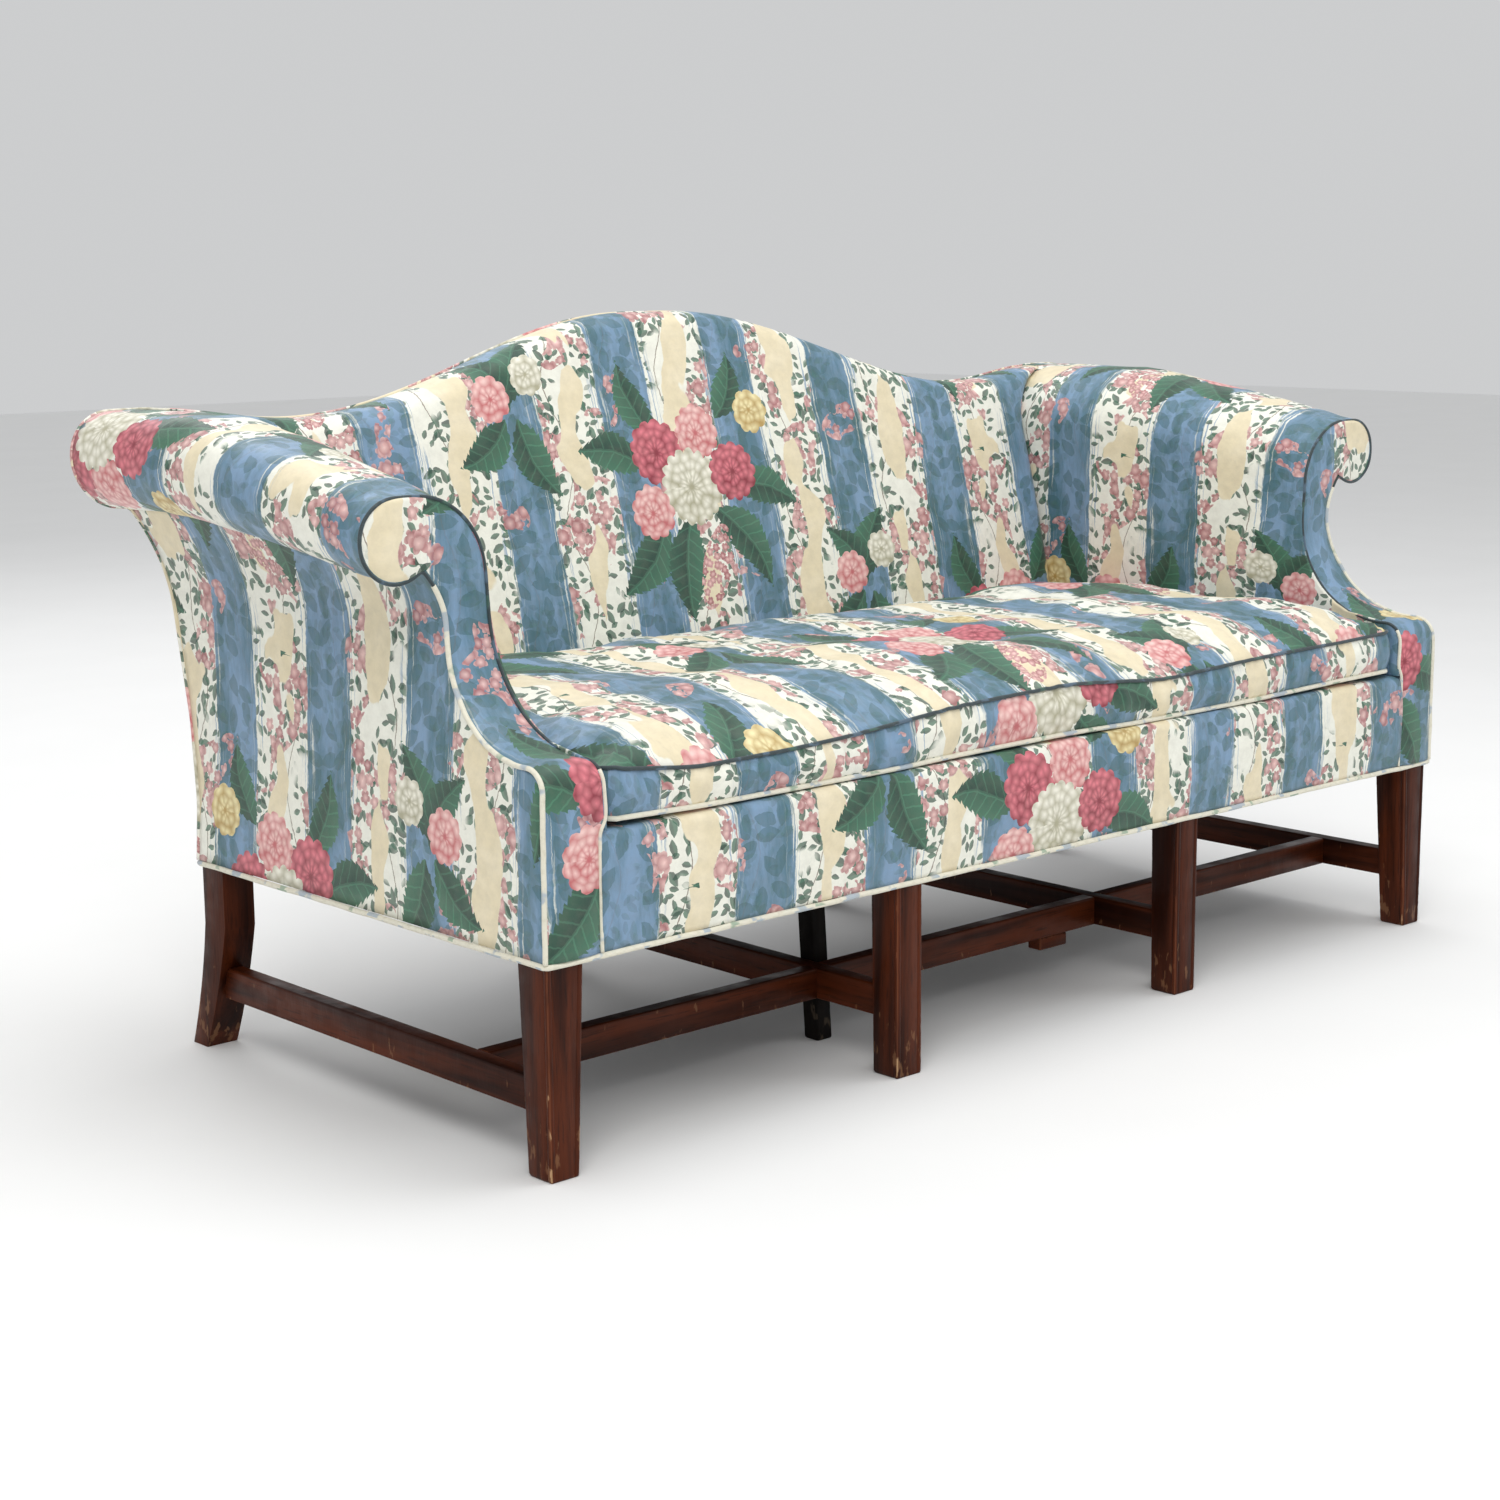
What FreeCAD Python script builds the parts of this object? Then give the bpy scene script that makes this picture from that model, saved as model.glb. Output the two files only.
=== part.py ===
import FreeCAD, Part
import math
import os
import Sketcher

# Camelback sofa with rolled arms, eight legs, stretchers and one loose seat cushion.
# X runs along the sofa, Y from the front to the back, Z up, in millimetres. While a piece is
# drawn, Y is zero at the faces of the front legs; its Placement then puts the middle of the
# overall depth at Y zero. "In" is the distance inwards from the outer face of an end leg.

drivingSizes = {
    # Legs
    "leg_span": (1694, "outer face of one end leg to outer face of the other"),
    "seat_depth": (720, "faces of the front legs to the foot of the outside back"),
    "leg_height": (246, "floor to the lower edge of the covers"),
    "leg_hidden": (8, "length of leg inside the covers, up to the rails"),
    "leg_width": (45, "width of the inner legs and of the rear legs"),
    "leg_deep": (47, "depth of an inner front leg at its top"),
    "leg_foot_deep": (43, "depth of an inner front leg at the floor"),
    "corner_top": (53, "side of an end front leg at its top"),
    "corner_foot": (42, "side of an end front leg at the floor"),
    "bead_width": (8, "width of the bead along a front corner of a leg"),
    "bead_groove": (2, "width and depth of the groove beside the bead"),
    "foot_chamfer": (2, "chamfer round a foot"),
    "rear_leg_deep": (48, "depth of a rear leg at its top"),
    "rear_foot_deep": (34, "depth of a rear leg at the floor"),
    "rear_leg_splay": (43, "how far a rear foot stands behind the leg's top"),
    "splay_height": (170, "height at which a rear leg starts to curve back"),
    "splay_bow": (5, "hollow of that curve"),
    "rear_leg_set": (2, "rear faces of the rear legs to the foot of the outside back"),
    # Stretchers
    "stretcher_low": (72, "floor to the underside of the stretchers"),
    "stretcher_tall": (40, "height of a stretcher"),
    "stretcher_thick": (24, "thickness of a stretcher"),
    "stretcher_round": (3, "rounding of a stretcher's upper edges"),
    "leg_housing": (12, "how far a stretcher is let into a leg"),
    "medial_place": (155, "face of the front legs to the middle stretcher"),
    "support_side": (27, "side of the rough support leg"),
    "support_clear": (8, "clear gap between the stretcher and the support leg's foot"),
    "support_set": (8, "clear gap between the middle stretcher and the support leg"),
    "support_lean": (0.067, "how far the support leg leans sideways for each mm of its height"),
    "block_long": (56, "length of the block under the middle stretcher"),
    "block_tall": (18, "height of that block"),
    "block_place": (175, "middle of the sofa to the middle of that block"),
    # Seat frame
    "reveal": (8, "how far the rails stand behind the leg faces"),
    "rail_tall": (80, "height of the seat rails"),
    "rail_thick": (28, "thickness of the seat rails"),
    "corner_block": (45, "length of a corner block along a rail"),
    "block_inset": (16, "corner block's clearance from the rail's edges"),
    "web_wide": (50, "width of a webbing strap"),
    "web_thick": (2, "thickness of a webbing strap"),
    "web_end": (4, "rail edge to the end of a strap"),
    "row_margin": (150, "leg faces to the middle of the first row of springs"),
    "row_pitch": (210, "spacing of the rows of springs"),
    "spring_radius": (32, "outer radius of a seat spring at its ends"),
    "spring_waist": (21, "the same at its waist"),
    "spring_shell": (0.8, "thickness of the plain shell that stands for its coils"),
    "spring_share": (0.22, "springs stand this share of a bay from its middle"),
    "deck_rise": (146, "lower edge of the covers to the top of the deck"),
    "deck_thick": (24, "thickness of the deck pad"),
    "burlap_thick": (1.5, "thickness of the burlap over the springs"),
    "front_roll_deep": (42, "depth of the deck's stuffed front edge"),
    "dust_thick": (1.4, "thickness of the dust cover"),
    # Back
    "outside_thick": (5, "thickness of the outside back"),
    "frame_thick": (32, "thickness of the back frame"),
    "back_rake": (0.18, "backward slope of the back"),
    "rake_rise": (84, "lower edge of the covers to where the slope starts"),
    "back_thick": (92, "rear of the back to its front at the deck"),
    "inside_rake": (0.26, "backward slope of the inside back"),
    "inside_crown": (9, "how far the inside back bulges"),
    "back_end_in": (30, "outer end of the inside back above the arm, in from the leg"),
    "back_cloth": (2, "thickness of the burlap on the back frame"),
    "crest_rise": (688, "lower edge of the covers to the top of the back"),
    "crest_flat": (35, "half of the crest's level length"),
    "dip_rise": (563, "lower edge of the covers to the lowest point of the top line"),
    "dip_place": (640, "middle of the sofa to that lowest point"),
    "top_pad": (12, "padding over the camel rail"),
    "camel_rail_tall": (85, "height of the camel rail"),
    "upright_wide": (45, "width of an upright of the back"),
    "tack_rail_tall": (45, "height of the tack rails"),
    "tack_rail_rise": (20, "seat rail, or deck at the arms, to the tack rail"),
    "tack_rail_thick": (22, "thickness of an arm's tack rail"),
    # Arms
    "arm_place": (185, "leg faces to the face of the scroll"),
    "arm_front_rise": (511, "lower edge of the covers to the top of the front scroll"),
    "arm_rear_rise": (583, "the same at the back of the arm"),
    "front_roll": (95, "radius of the arm's roll at the front"),
    "rear_roll": (100, "the same at the back"),
    "front_roll_in": (-25, "centre of that roll, in from the leg's outer face"),
    "rear_roll_in": (0, "the same at the back"),
    "arm_full": (600, "leg faces to the place where the arm reaches its full height"),
    "arm_lift": (0.25, "how much faster the arm rises at its front than at its end"),
    "front_curl": (48, "radius of the curl under the roll at the front"),
    "rear_curl": (60, "the same at the back"),
    "front_curl_in": (-52, "centre of the curl, in from the leg's outer face"),
    "rear_curl_in": (-50, "the same at the back"),
    "front_curl_turn": (45, "degrees the curl turns in past its lowest point"),
    "rear_curl_turn": (10, "the same at the back"),
    "front_waist_in": (12, "waist of the outside arm, in from the leg's outer face"),
    "rear_waist_in": (5, "the same at the back"),
    "front_waist_drop": (77, "end of the curl to the waist"),
    "rear_waist_drop": (130, "the same at the back"),
    "waist_bow": (10, "hollow of the outside arm above the waist"),
    "front_knee_in": (-3, "outside arm below the waist, in from the leg's outer face"),
    "rear_knee_in": (7, "the same at the back"),
    "knee_rise": (190, "lower edge of the covers to that place below the waist"),
    "front_inner_low": (86, "inside arm at the deck at the front, in from the leg"),
    "rear_inner_low": (100, "the same at the back"),
    "arm_core_in": (60.3, "outer side of the inside arm's pad, in from the leg"),
    "pad_fall": (15, "fall of the arm pad's underside from the notch inwards"),
    "facing_thick": (12, "thickness of the arm front"),
    "facing_in": (76, "inner edge of the arm front below the deck"),
    "cover_proud": (4, "how far the covers stand before the leg faces"),
    "toe_radius": (28, "rounding where the arm front turns down"),
    "toe_flat": (11, "level length behind that rounding"),
    "sweep_rise": (224, "lower edge of the covers to the foot of the sweep"),
    "post_in": (20, "arm post, in from the leg's outer face"),
    "post_thick": (40, "thickness of the arm post"),
    "post_back": (245, "leg faces to the back of the arm post"),
    "post_top_drop": (117, "top of the scroll to the top of the arm post"),
    "board_thick": (25, "thickness of the front scroll board"),
    "scroll_pad": (14, "padding round the front scroll board"),
    "rear_scroll_pad": (3, "padding round the rear scroll board"),
    "stile_in": (20, "back's end post, in from the leg's outer face"),
    "stile_wide": (25, "width of that end post"),
    "stile_drop": (134, "top of the arm at the back to the top of the end post"),
    "cap_in": (45, "inner edge of the cap behind the arm, in from the leg"),
    "arm_rail_in": (-35, "arm's top rail, in from the leg's outer face"),
    "arm_rail_wide": (50, "width of the arm's top rail"),
    "arm_rail_tall": (30, "height of the arm's top rail"),
    "arm_rail_drop": (47, "top of the roll to the middle of that rail"),
    # Covers and cushion
    "welt_radius": (3.5, "radius of a welt"),
    "welt_corner": (4, "radius of the base welt at the sofa's corners"),
    "cushion_front": (-2, "leg faces to the front of the cushion's welts"),
    "cushion_gap": (2.5, "gap between the cushion and the arms and back"),
    "cushion_box": (54, "height between the cushion's two welts"),
    "cushion_crown": (42, "how far the cushion rises above its upper welt"),
    "cushion_corner": (26, "plan radius of the cushion's corners"),
    "cushion_draw": (7, "how far the cushion's sides draw in between its corners"),
    "cushion_cloth": (1.5, "thickness of the cushion's cover"),
    # Fits
    "cloth_gap": (0.3, "gap kept beside soft pieces"),
}

# Document and sheet of sizes

doc = FreeCAD.newDocument("CamelbackSofa")
sheet = doc.addObject("Spreadsheet::Sheet", "Sizes")
for row, (alias, (value, meaning)) in enumerate(drivingSizes.items(), 1):
    sheet.set(f"A{row}", meaning)
    sheet.set(f"B{row}", str(value))
    sheet.setAlias(f"B{row}", alias)
doc.recompute()


def size(alias):
    return float(sheet.get(alias))


pieces = {}
sides = {"left": -1, "right": 1}

# Heights and places that follow from the sheet

halfSpan = size("leg_span") / 2
legPitch = (size("leg_span") - size("leg_width")) / 3
baseHeight = size("leg_height")
railLow = baseHeight + size("leg_hidden")
railTop = railLow + size("rail_tall")
coverFoot = railLow + size("cloth_gap")
deckTop = baseHeight + size("deck_rise")
deckLow = deckTop - size("deck_thick")
burlapLow = deckLow - size("burlap_thick")
rakeStart = baseHeight + size("rake_rise")
crestTop = baseHeight + size("crest_rise")
dipTop = baseHeight + size("dip_rise")
armFrontTop = baseHeight + size("arm_front_rise")
armRearTop = baseHeight + size("arm_rear_rise")
sweepFoot = baseHeight + size("sweep_rise")
postTop = armFrontTop - size("post_top_drop")
sweepRadius = size("arm_place") + size("cover_proud") - size("toe_radius") - size("toe_flat")
facingBack = size("arm_place") + size("facing_thick")
boardBack = facingBack + size("board_thick")
stretcherTop = size("stretcher_low") + size("stretcher_tall")
wellAbove = crestTop + size("leg_height")
wellBehind = size("seat_depth") * 2
wellBefore = -size("seat_depth")

# Expressions that the bound sizes use

halfText = "Sizes.leg_span / 2"
railLowText = "Sizes.leg_height + Sizes.leg_hidden"
railTopText = f"{railLowText} + Sizes.rail_tall"
deckTopText = "Sizes.leg_height + Sizes.deck_rise"
deckLowText = f"{deckTopText} - Sizes.deck_thick"
burlapLowText = f"{deckLowText} - Sizes.burlap_thick"
stretcherTopText = "Sizes.stretcher_low + Sizes.stretcher_tall"
frameFrontText = "Sizes.seat_depth - Sizes.outside_thick - Sizes.frame_thick"
rearLegFrontText = "Sizes.seat_depth - Sizes.rear_leg_set - Sizes.rear_leg_deep"


def rearFace(height):
    return size("seat_depth") + size("back_rake") * max(0.0, height - rakeStart)


def frameBack(height):
    return rearFace(height) - size("outside_thick")


def frameFront(height):
    return frameBack(height) - size("frame_thick")


def insideFace(height):
    return rearFace(deckTop) - size("back_thick") + size("inside_rake") * (height - deckTop)


frontMost = -size("cover_proud") - size("welt_radius")
toOrigin = FreeCAD.Placement(
    FreeCAD.Vector(0, -(frontMost + rearFace(crestTop)) / 2, 0), FreeCAD.Rotation()
)


def camelHeight(across):
    """Height of the back's top line: a raised cosine down to the dip, then a gentle rise."""
    distance = abs(across)
    dip = size("dip_place")
    if distance <= dip:
        share = max(0.0, distance - size("crest_flat")) / (dip - size("crest_flat"))
        return dipTop + (crestTop - dipTop) * (1 + math.cos(math.pi * share)) / 2
    share = min(1.0, (distance - dip) / (halfSpan - dip))
    return dipTop + (armRearTop - dipTop) * (1 - math.cos(math.pi * share)) / 2


camelPoints = 37


def camelLine(start, end, drop=0.0, count=camelPoints):
    """Points of the top line between two places across the sofa, lowered by a drop."""
    step = (end - start) / (count - 1)
    return [(start + k * step, camelHeight(start + k * step) - drop) for k in range(count)]


# Outlines: a step of one point is a line, of two an arc, and of more a run of short lines


def outlineGeometry(start, steps):
    here = FreeCAD.Vector(*start, 0)
    geometry = []
    for step in steps:
        ends = [FreeCAD.Vector(*point, 0) for point in step]
        if len(ends) == 1:
            geometry.append(Part.LineSegment(here, ends[0]))
        elif len(ends) == 2:
            geometry.append(Part.Arc(here, *ends))
        else:
            geometry += [Part.LineSegment(*pair) for pair in zip([here] + ends, ends)]
        here = ends[-1]
    return geometry


def onCircle(centre, radius, degrees):
    angle = math.radians(degrees)
    return (centre[0] + radius * math.cos(angle), centre[1] + radius * math.sin(angle))


def turn(centre, radius, fromDegrees, toDegrees):
    return [
        onCircle(centre, radius, (fromDegrees + toDegrees) / 2),
        onCircle(centre, radius, toDegrees),
    ]


def mirrored(start, steps, side):
    """The same outline on the left (-1) or the right (1), from places measured inwards."""
    flip = lambda point: (side * (halfSpan - point[0]), point[1])
    return flip(start), [[flip(point) for point in step] for step in steps]


# Bodies made of sketches and pads


def newBody(label):
    body = doc.addObject("PartDesign::Body", label)
    body.Label = label
    body.Placement = toOrigin
    pieces[label] = body
    return body


def sketchOn(body, role, name, offset="0"):
    sketch = body.newObject("Sketcher::SketchObject", f"{body.Name}_{name}")
    plane = next(item for item in body.Origin.OriginFeatures if item.Role == role)
    sketch.AttachmentSupport = [(plane, "")]
    sketch.MapMode = "FlatFace"
    sketch.setExpression("AttachmentOffset.Base.z", offset)
    return sketch


def drawRectangle(sketch, low, high):
    """A rectangle whose two corners are bound to expressions."""
    corners = [FreeCAD.Vector(*place, 0) for place in ((0, 0), (1, 0), (1, 1), (0, 1))]
    first = sketch.GeometryCount
    for k in range(4):
        sketch.addGeometry(Part.LineSegment(corners[k], corners[(k + 1) % 4]))
    for k in range(4):
        sketch.addConstraint(Sketcher.Constraint("Coincident", first + k, 2, first + (k + 1) % 4, 1))
        direction = "Horizontal" if k % 2 == 0 else "Vertical"
        sketch.addConstraint(Sketcher.Constraint(direction, first + k))
    for kind, line, text in (
        ("DistanceX", 0, low[0]),
        ("DistanceY", 0, low[1]),
        ("DistanceX", 2, high[0]),
        ("DistanceY", 2, high[1]),
    ):
        guess = 1.0 if line else 0.5
        index = sketch.addConstraint(Sketcher.Constraint(kind, -1, 1, first + line, 1, guess))
        sketch.setExpression(f"Constraints[{index}]", text)


def drawOutline(sketch, start, steps):
    sketch.addGeometry(outlineGeometry(start, steps), False)


def padSketch(body, sketch, length, feature="PartDesign::Pad"):
    pad = body.newObject(feature, f"{sketch.Name}_solid")
    pad.Profile = sketch
    pad.setExpression("Length", length)
    sketch.Visibility = False
    return pad


def bar(label, low, high):
    """A straight rectangular piece between two corners, each given as three expressions."""
    body = newBody(label)
    sketch = sketchOn(body, "XY_Plane", "section", low[2])
    drawRectangle(sketch, low, high)
    padSketch(body, sketch, f"({high[2]}) - ({low[2]})")
    return body


def sidePiece(label, start, steps, inStart, width, side):
    """A board cut to a side view (Y and Z) whose width runs inwards from a place on one side."""
    body = newBody(label)
    far = f"{halfText} - ({inStart})"
    offset = far + f" - ({width})" if side > 0 else f"-({far})"
    sketch = sketchOn(body, "YZ_Plane", "profile", offset)
    drawOutline(sketch, start, steps)
    padSketch(body, sketch, width)
    return body


def cutThrough(body, name, outlines, role="YZ_Plane"):
    """Pockets closed outlines, seen from the side or from the front, right through a body."""
    sketch = sketchOn(body, role, name)
    for start, steps in outlines:
        drawOutline(sketch, start, steps)
    pocket = body.newObject("PartDesign::Pocket", f"{sketch.Name}_cut")
    pocket.Profile = sketch
    pocket.Type = "ThroughAll"
    pocket.SideType = "Symmetric"
    sketch.Visibility = False


def behind(line):
    """The side-view region behind a line of heights, as a closed outline."""
    start, steps = line
    end = steps[-1][-1]
    return start, steps + [[(wellBehind, end[1])], [(wellBehind, start[1])], [start]]


def before(line):
    """The side-view region before such a line."""
    start, steps = line
    end = steps[-1][-1]
    return start, steps + [[(wellBefore, end[1])], [(wellBefore, start[1])], [start]]


def rakedLine(place):
    """A side-view line from the floor to well above the crest at a raked face."""
    return (place(0), 0), [[(place(rakeStart), rakeStart)], [(place(wellAbove), wellAbove)]]


def rakedSlab(label, start, steps, frontLine, backLine):
    """A front view (X and Z) given its thickness by two side-view lines."""
    body = newBody(label)
    sketch = sketchOn(body, "XZ_Plane", "outline", "-2 * Sizes.seat_depth")
    drawOutline(sketch, start, steps)
    padSketch(body, sketch, "3 * Sizes.seat_depth")
    cutThrough(body, "faces", [before(frontLine), behind(backLine)])
    return body


def dress(body, feature, sizeName, value, test):
    """Rounds or chamfers the edges of a body's last solid that pass a test."""
    doc.recompute()
    base = body.Tip
    chosen = [f"Edge{k}" for k, edge in enumerate(base.Shape.Edges, 1) if test(edge)]
    dressing = body.newObject(f"PartDesign::{feature}", f"{body.Name}_{feature.lower()}")
    dressing.Base = (base, chosen)
    dressing.setExpression(sizeName, value)


def level(edge, height):
    box = edge.BoundBox
    return abs(box.ZMin - height) < 0.01 and abs(box.ZMax - height) < 0.01


def topEdgesAlong(axis, height):
    """A test for the level edges at a height that run along one axis."""
    return lambda edge: level(edge, height) and getattr(edge.BoundBox, axis + "Length") > 1 and (
        getattr(edge.BoundBox, ("Y" if axis == "X" else "X") + "Length") < 0.01
    )


def sampled(outline, chords):
    """A closed outline as points, each arc in turn split into a number of chords."""
    here, steps = outline
    points, counts = [here], iter(chords)
    for step in steps:
        if len(step) == 2:
            arc = Part.Arc(*(FreeCAD.Vector(*point, 0) for point in (here, *step)))
            count = next(counts)
            first, last = arc.FirstParameter, arc.LastParameter
            places = [arc.value(first + (last - first) * k / count) for k in range(1, count + 1)]
            points += [(place.x, place.y) for place in places]
        else:
            points += step
        here = points[-1]
    return points[:-1]


def facetSolid(rings, closed=False):
    """A solid of small flat faces between rings of points, capped unless it closes on itself."""
    faces = []
    for lower, upper in zip(rings, rings[1:] + (rings[:1] if closed else [])):
        for k in range(len(lower)):
            after = (k + 1) % len(lower)
            corners = [lower[k], lower[after], upper[after], upper[k]]
            normal = (corners[1] - corners[0]).cross(corners[3] - corners[0])
            normal = normal if normal.Length > 0 else (corners[2] - corners[1]).cross(corners[3] - corners[1])
            flat = abs((corners[2] - corners[0]).dot(normal.normalize())) < 1e-7
            for loop in [corners] if flat else [corners[:3], [corners[0], *corners[2:]]]:
                faces.append(Part.Face(Part.makePolygon(loop + loop[:1])))
    if not closed:
        for ring in (rings[0][::-1], rings[-1]):
            faces.append(Part.Face(Part.makePolygon(ring + ring[:1])))
    solid = Part.Solid(Part.Shell(faces))
    return solid if solid.Volume > 0 else solid.reversed()


def solidPiece(label, shape):
    """A piece whose form is lofted from the sheet's sizes."""
    piece = doc.addObject("Part::Feature", label)
    piece.Label = label
    piece.Shape = shape
    piece.Placement = toOrigin
    pieces[label] = piece
    return piece


def cutAway(label, tools):
    """Takes other pieces out of a piece, so that they are let into it."""
    base = pieces[label]
    base.Label = f"{label}_uncut"
    tool = pieces[tools[0]]
    if len(tools) > 1:
        tool = doc.addObject("Part::MultiFuse", f"{label}_tools")
        tool.Shapes = [pieces[name] for name in tools]
    cut = doc.addObject("Part::Cut", f"{label}_cut")
    cut.Base = base
    cut.Tool = tool
    cut.Label = label
    pieces[label] = cut


def grouped(label, parts):
    """Several pieces kept as one."""
    group = doc.addObject("Part::Compound", label)
    group.Label = label
    group.Links = [pieces.pop(name) for name in parts]
    pieces[label] = group


def plainShape(label):
    """A piece's solid as it is drawn, before it is moved to the sofa's origin."""
    shape = pieces[label].Shape.copy()
    shape.Placement = toOrigin.inverse().multiply(shape.Placement)
    return shape


# The arm's outline at a share of the way from its front (0) to its full height (1)


def armProfile(share):
    mix = lambda alias: size(f"front_{alias}") * (1 - share) + size(f"rear_{alias}") * share
    top = armFrontTop + (armRearTop - armFrontTop) * share
    roll, curl = mix("roll"), mix("curl")
    rollMiddle = (mix("roll_in"), top - roll)
    curlMiddle = (mix("curl_in"), top - curl)
    curlEnd = mix("curl_turn") - 90
    notch = onCircle(curlMiddle, curl, curlEnd)
    waist = (mix("waist_in"), notch[1] - mix("waist_drop"))
    hollow = ((notch[0] + waist[0]) / 2 + size("waist_bow"), (notch[1] + waist[1]) / 2)
    knee = (mix("knee_in"), baseHeight + size("knee_rise"))
    innerFoot = (mix("inner_low"), deckTop)
    offset = (innerFoot[0] - rollMiddle[0], innerFoot[1] - rollMiddle[1])
    distance = math.hypot(*offset)
    touch = math.degrees(math.atan2(offset[1], offset[0]) + math.acos(roll / distance))
    return {
        "roll": roll,
        "curl": curl,
        "rollMiddle": rollMiddle,
        "curlMiddle": curlMiddle,
        "curlEnd": curlEnd,
        "notch": notch,
        "waist": waist,
        "hollow": hollow,
        "knee": knee,
        "innerFoot": innerFoot,
        "touch": touch,
        "top": top,
    }


def scrollSteps(profile, inset=0.0):
    """From the inside of the arm over the roll and round the curl to the notch."""
    roll, curl = profile["roll"] - inset, profile["curl"] - inset
    return [
        [onCircle(profile["rollMiddle"], roll, profile["touch"])],
        turn(profile["rollMiddle"], roll, profile["touch"], 90),
        [(profile["curlMiddle"][0], profile["top"] - inset)],
        turn(profile["curlMiddle"], curl, 90, 360 + profile["curlEnd"]),
    ]


def outsideSteps(profile):
    """From the notch down the outside of the arm to its lower edge."""
    return [
        [profile["hollow"], profile["waist"]],
        [profile["knee"]],
        [(-size("cover_proud"), coverFoot)],
    ]


def armOutline(share):
    profile = armProfile(share)
    start = (profile["innerFoot"][0], coverFoot)
    return start, [[profile["innerFoot"]]] + scrollSteps(profile) + outsideSteps(profile) + [[start]]


def facingOutline():
    """Front view of the arm front: narrower below the deck than the arm behind it."""
    profile = armProfile(0)
    start = (size("facing_in"), coverFoot)
    shoulder = size("facing_thick")
    steps = [
        [(size("facing_in"), deckTop)],
        [(profile["innerFoot"][0] - 1, deckTop + shoulder)],
    ]
    return start, steps + scrollSteps(profile) + outsideSteps(profile) + [[start]]


def boardOutline(share, inset, low):
    """A scroll board: the scroll's outline drawn in, with a level lower edge."""
    profile = armProfile(share)
    inner = onCircle(profile["rollMiddle"], profile["roll"] - inset, profile["touch"])
    outerX = max(size("post_in"), profile["notch"][0] + inset)
    outer = (outerX, profile["notch"][1])
    start = (min(inner[0], size("arm_core_in")), low)
    steps = [[(start[0], inner[1])]] if start[0] < inner[0] else []
    return start, steps + scrollSteps(profile, inset) + [[outer], [(outerX, low)], [start]]


def sweepLine(inset):
    """Side view of the arm's front: upright, a rounded toe, and a sweep up to the scroll."""
    front = -size("cover_proud") + inset
    toe, flat, sweep = size("toe_radius") - inset, size("toe_flat"), sweepRadius + inset
    toeMiddle = (front + toe, sweepFoot - inset - toe)
    sweepMiddle = (front + toe + flat, sweepFoot - inset + sweep)
    return (front, 0), [
        [(front, toeMiddle[1])],
        turn(toeMiddle, toe, 180, 90),
        [(sweepMiddle[0], sweepFoot - inset)],
        turn(sweepMiddle, sweep, -90, 0),
        [(sweepMiddle[0] + sweep, wellAbove)],
    ]


# Legs and stretchers


def across(side, inStart, width):
    """Expressions for the two sides of a piece set in from the end of the sofa."""
    if side < 0:
        return f"{inStart} - {halfText}", f"{inStart} - {halfText} + {width}"
    return f"{halfText} - ({inStart}) - {width}", f"{halfText} - ({inStart})"


def about(middle, width):
    return f"{middle} - {width} / 2", f"{middle} + {width} / 2"


def wedge(topPlace, footPlace, away):
    """What is planed off one side of a leg between its foot and its top, in a side view."""
    return (footPlace, 0), [[(topPlace, railLow)], [(away, railLow)], [(away, 0)], [(footPlace, 0)]]


def frontLeg(name, xSpan, deep, footDeep, taperSide, post):
    """A square front leg with beaded front corners, drawn in towards the floor."""
    body = newBody(f"front_leg_{name}")
    shaft = sketchOn(body, "XY_Plane", "shaft")
    drawRectangle(shaft, (xSpan[0], "0"), (xSpan[1], deep))
    padSketch(body, shaft, railLowText)
    if post:
        head = sketchOn(body, "XY_Plane", "post", railLowText)
        drawRectangle(head, (post[0], "Sizes.reveal"), (post[1], deep))
        padSketch(body, head, "Sizes.rail_tall")
    away = wellBehind
    cutThrough(body, "back_taper", [wedge(size(deep.split(".")[1]), size(footDeep.split(".")[1]), away)])
    if taperSide:
        top, foot = size("corner_top") - halfSpan, size("corner_foot") - halfSpan
        start, steps = wedge(-taperSide * top, -taperSide * foot, 0)
        cutThrough(body, "side_taper", [(start, steps)], "XZ_Plane")
    grooves = sketchOn(body, "XY_Plane", "grooves")
    for text, direction in ((xSpan[0], "+"), (xSpan[1], "-")):
        near = f"{text} {direction} Sizes.bead_width"
        far = f"{near} {direction} Sizes.bead_groove"
        low, high = (near, far) if direction == "+" else (far, near)
        drawRectangle(grooves, (low, "-Sizes.bead_groove"), (high, "Sizes.bead_groove"))
    pocket = padSketch(body, grooves, "Sizes.leg_height", "PartDesign::Pocket")
    pocket.Reversed = True
    dress(body, "Chamfer", "Size", "Sizes.foot_chamfer / 2", lambda edge: level(edge, 0))
    return body


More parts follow.
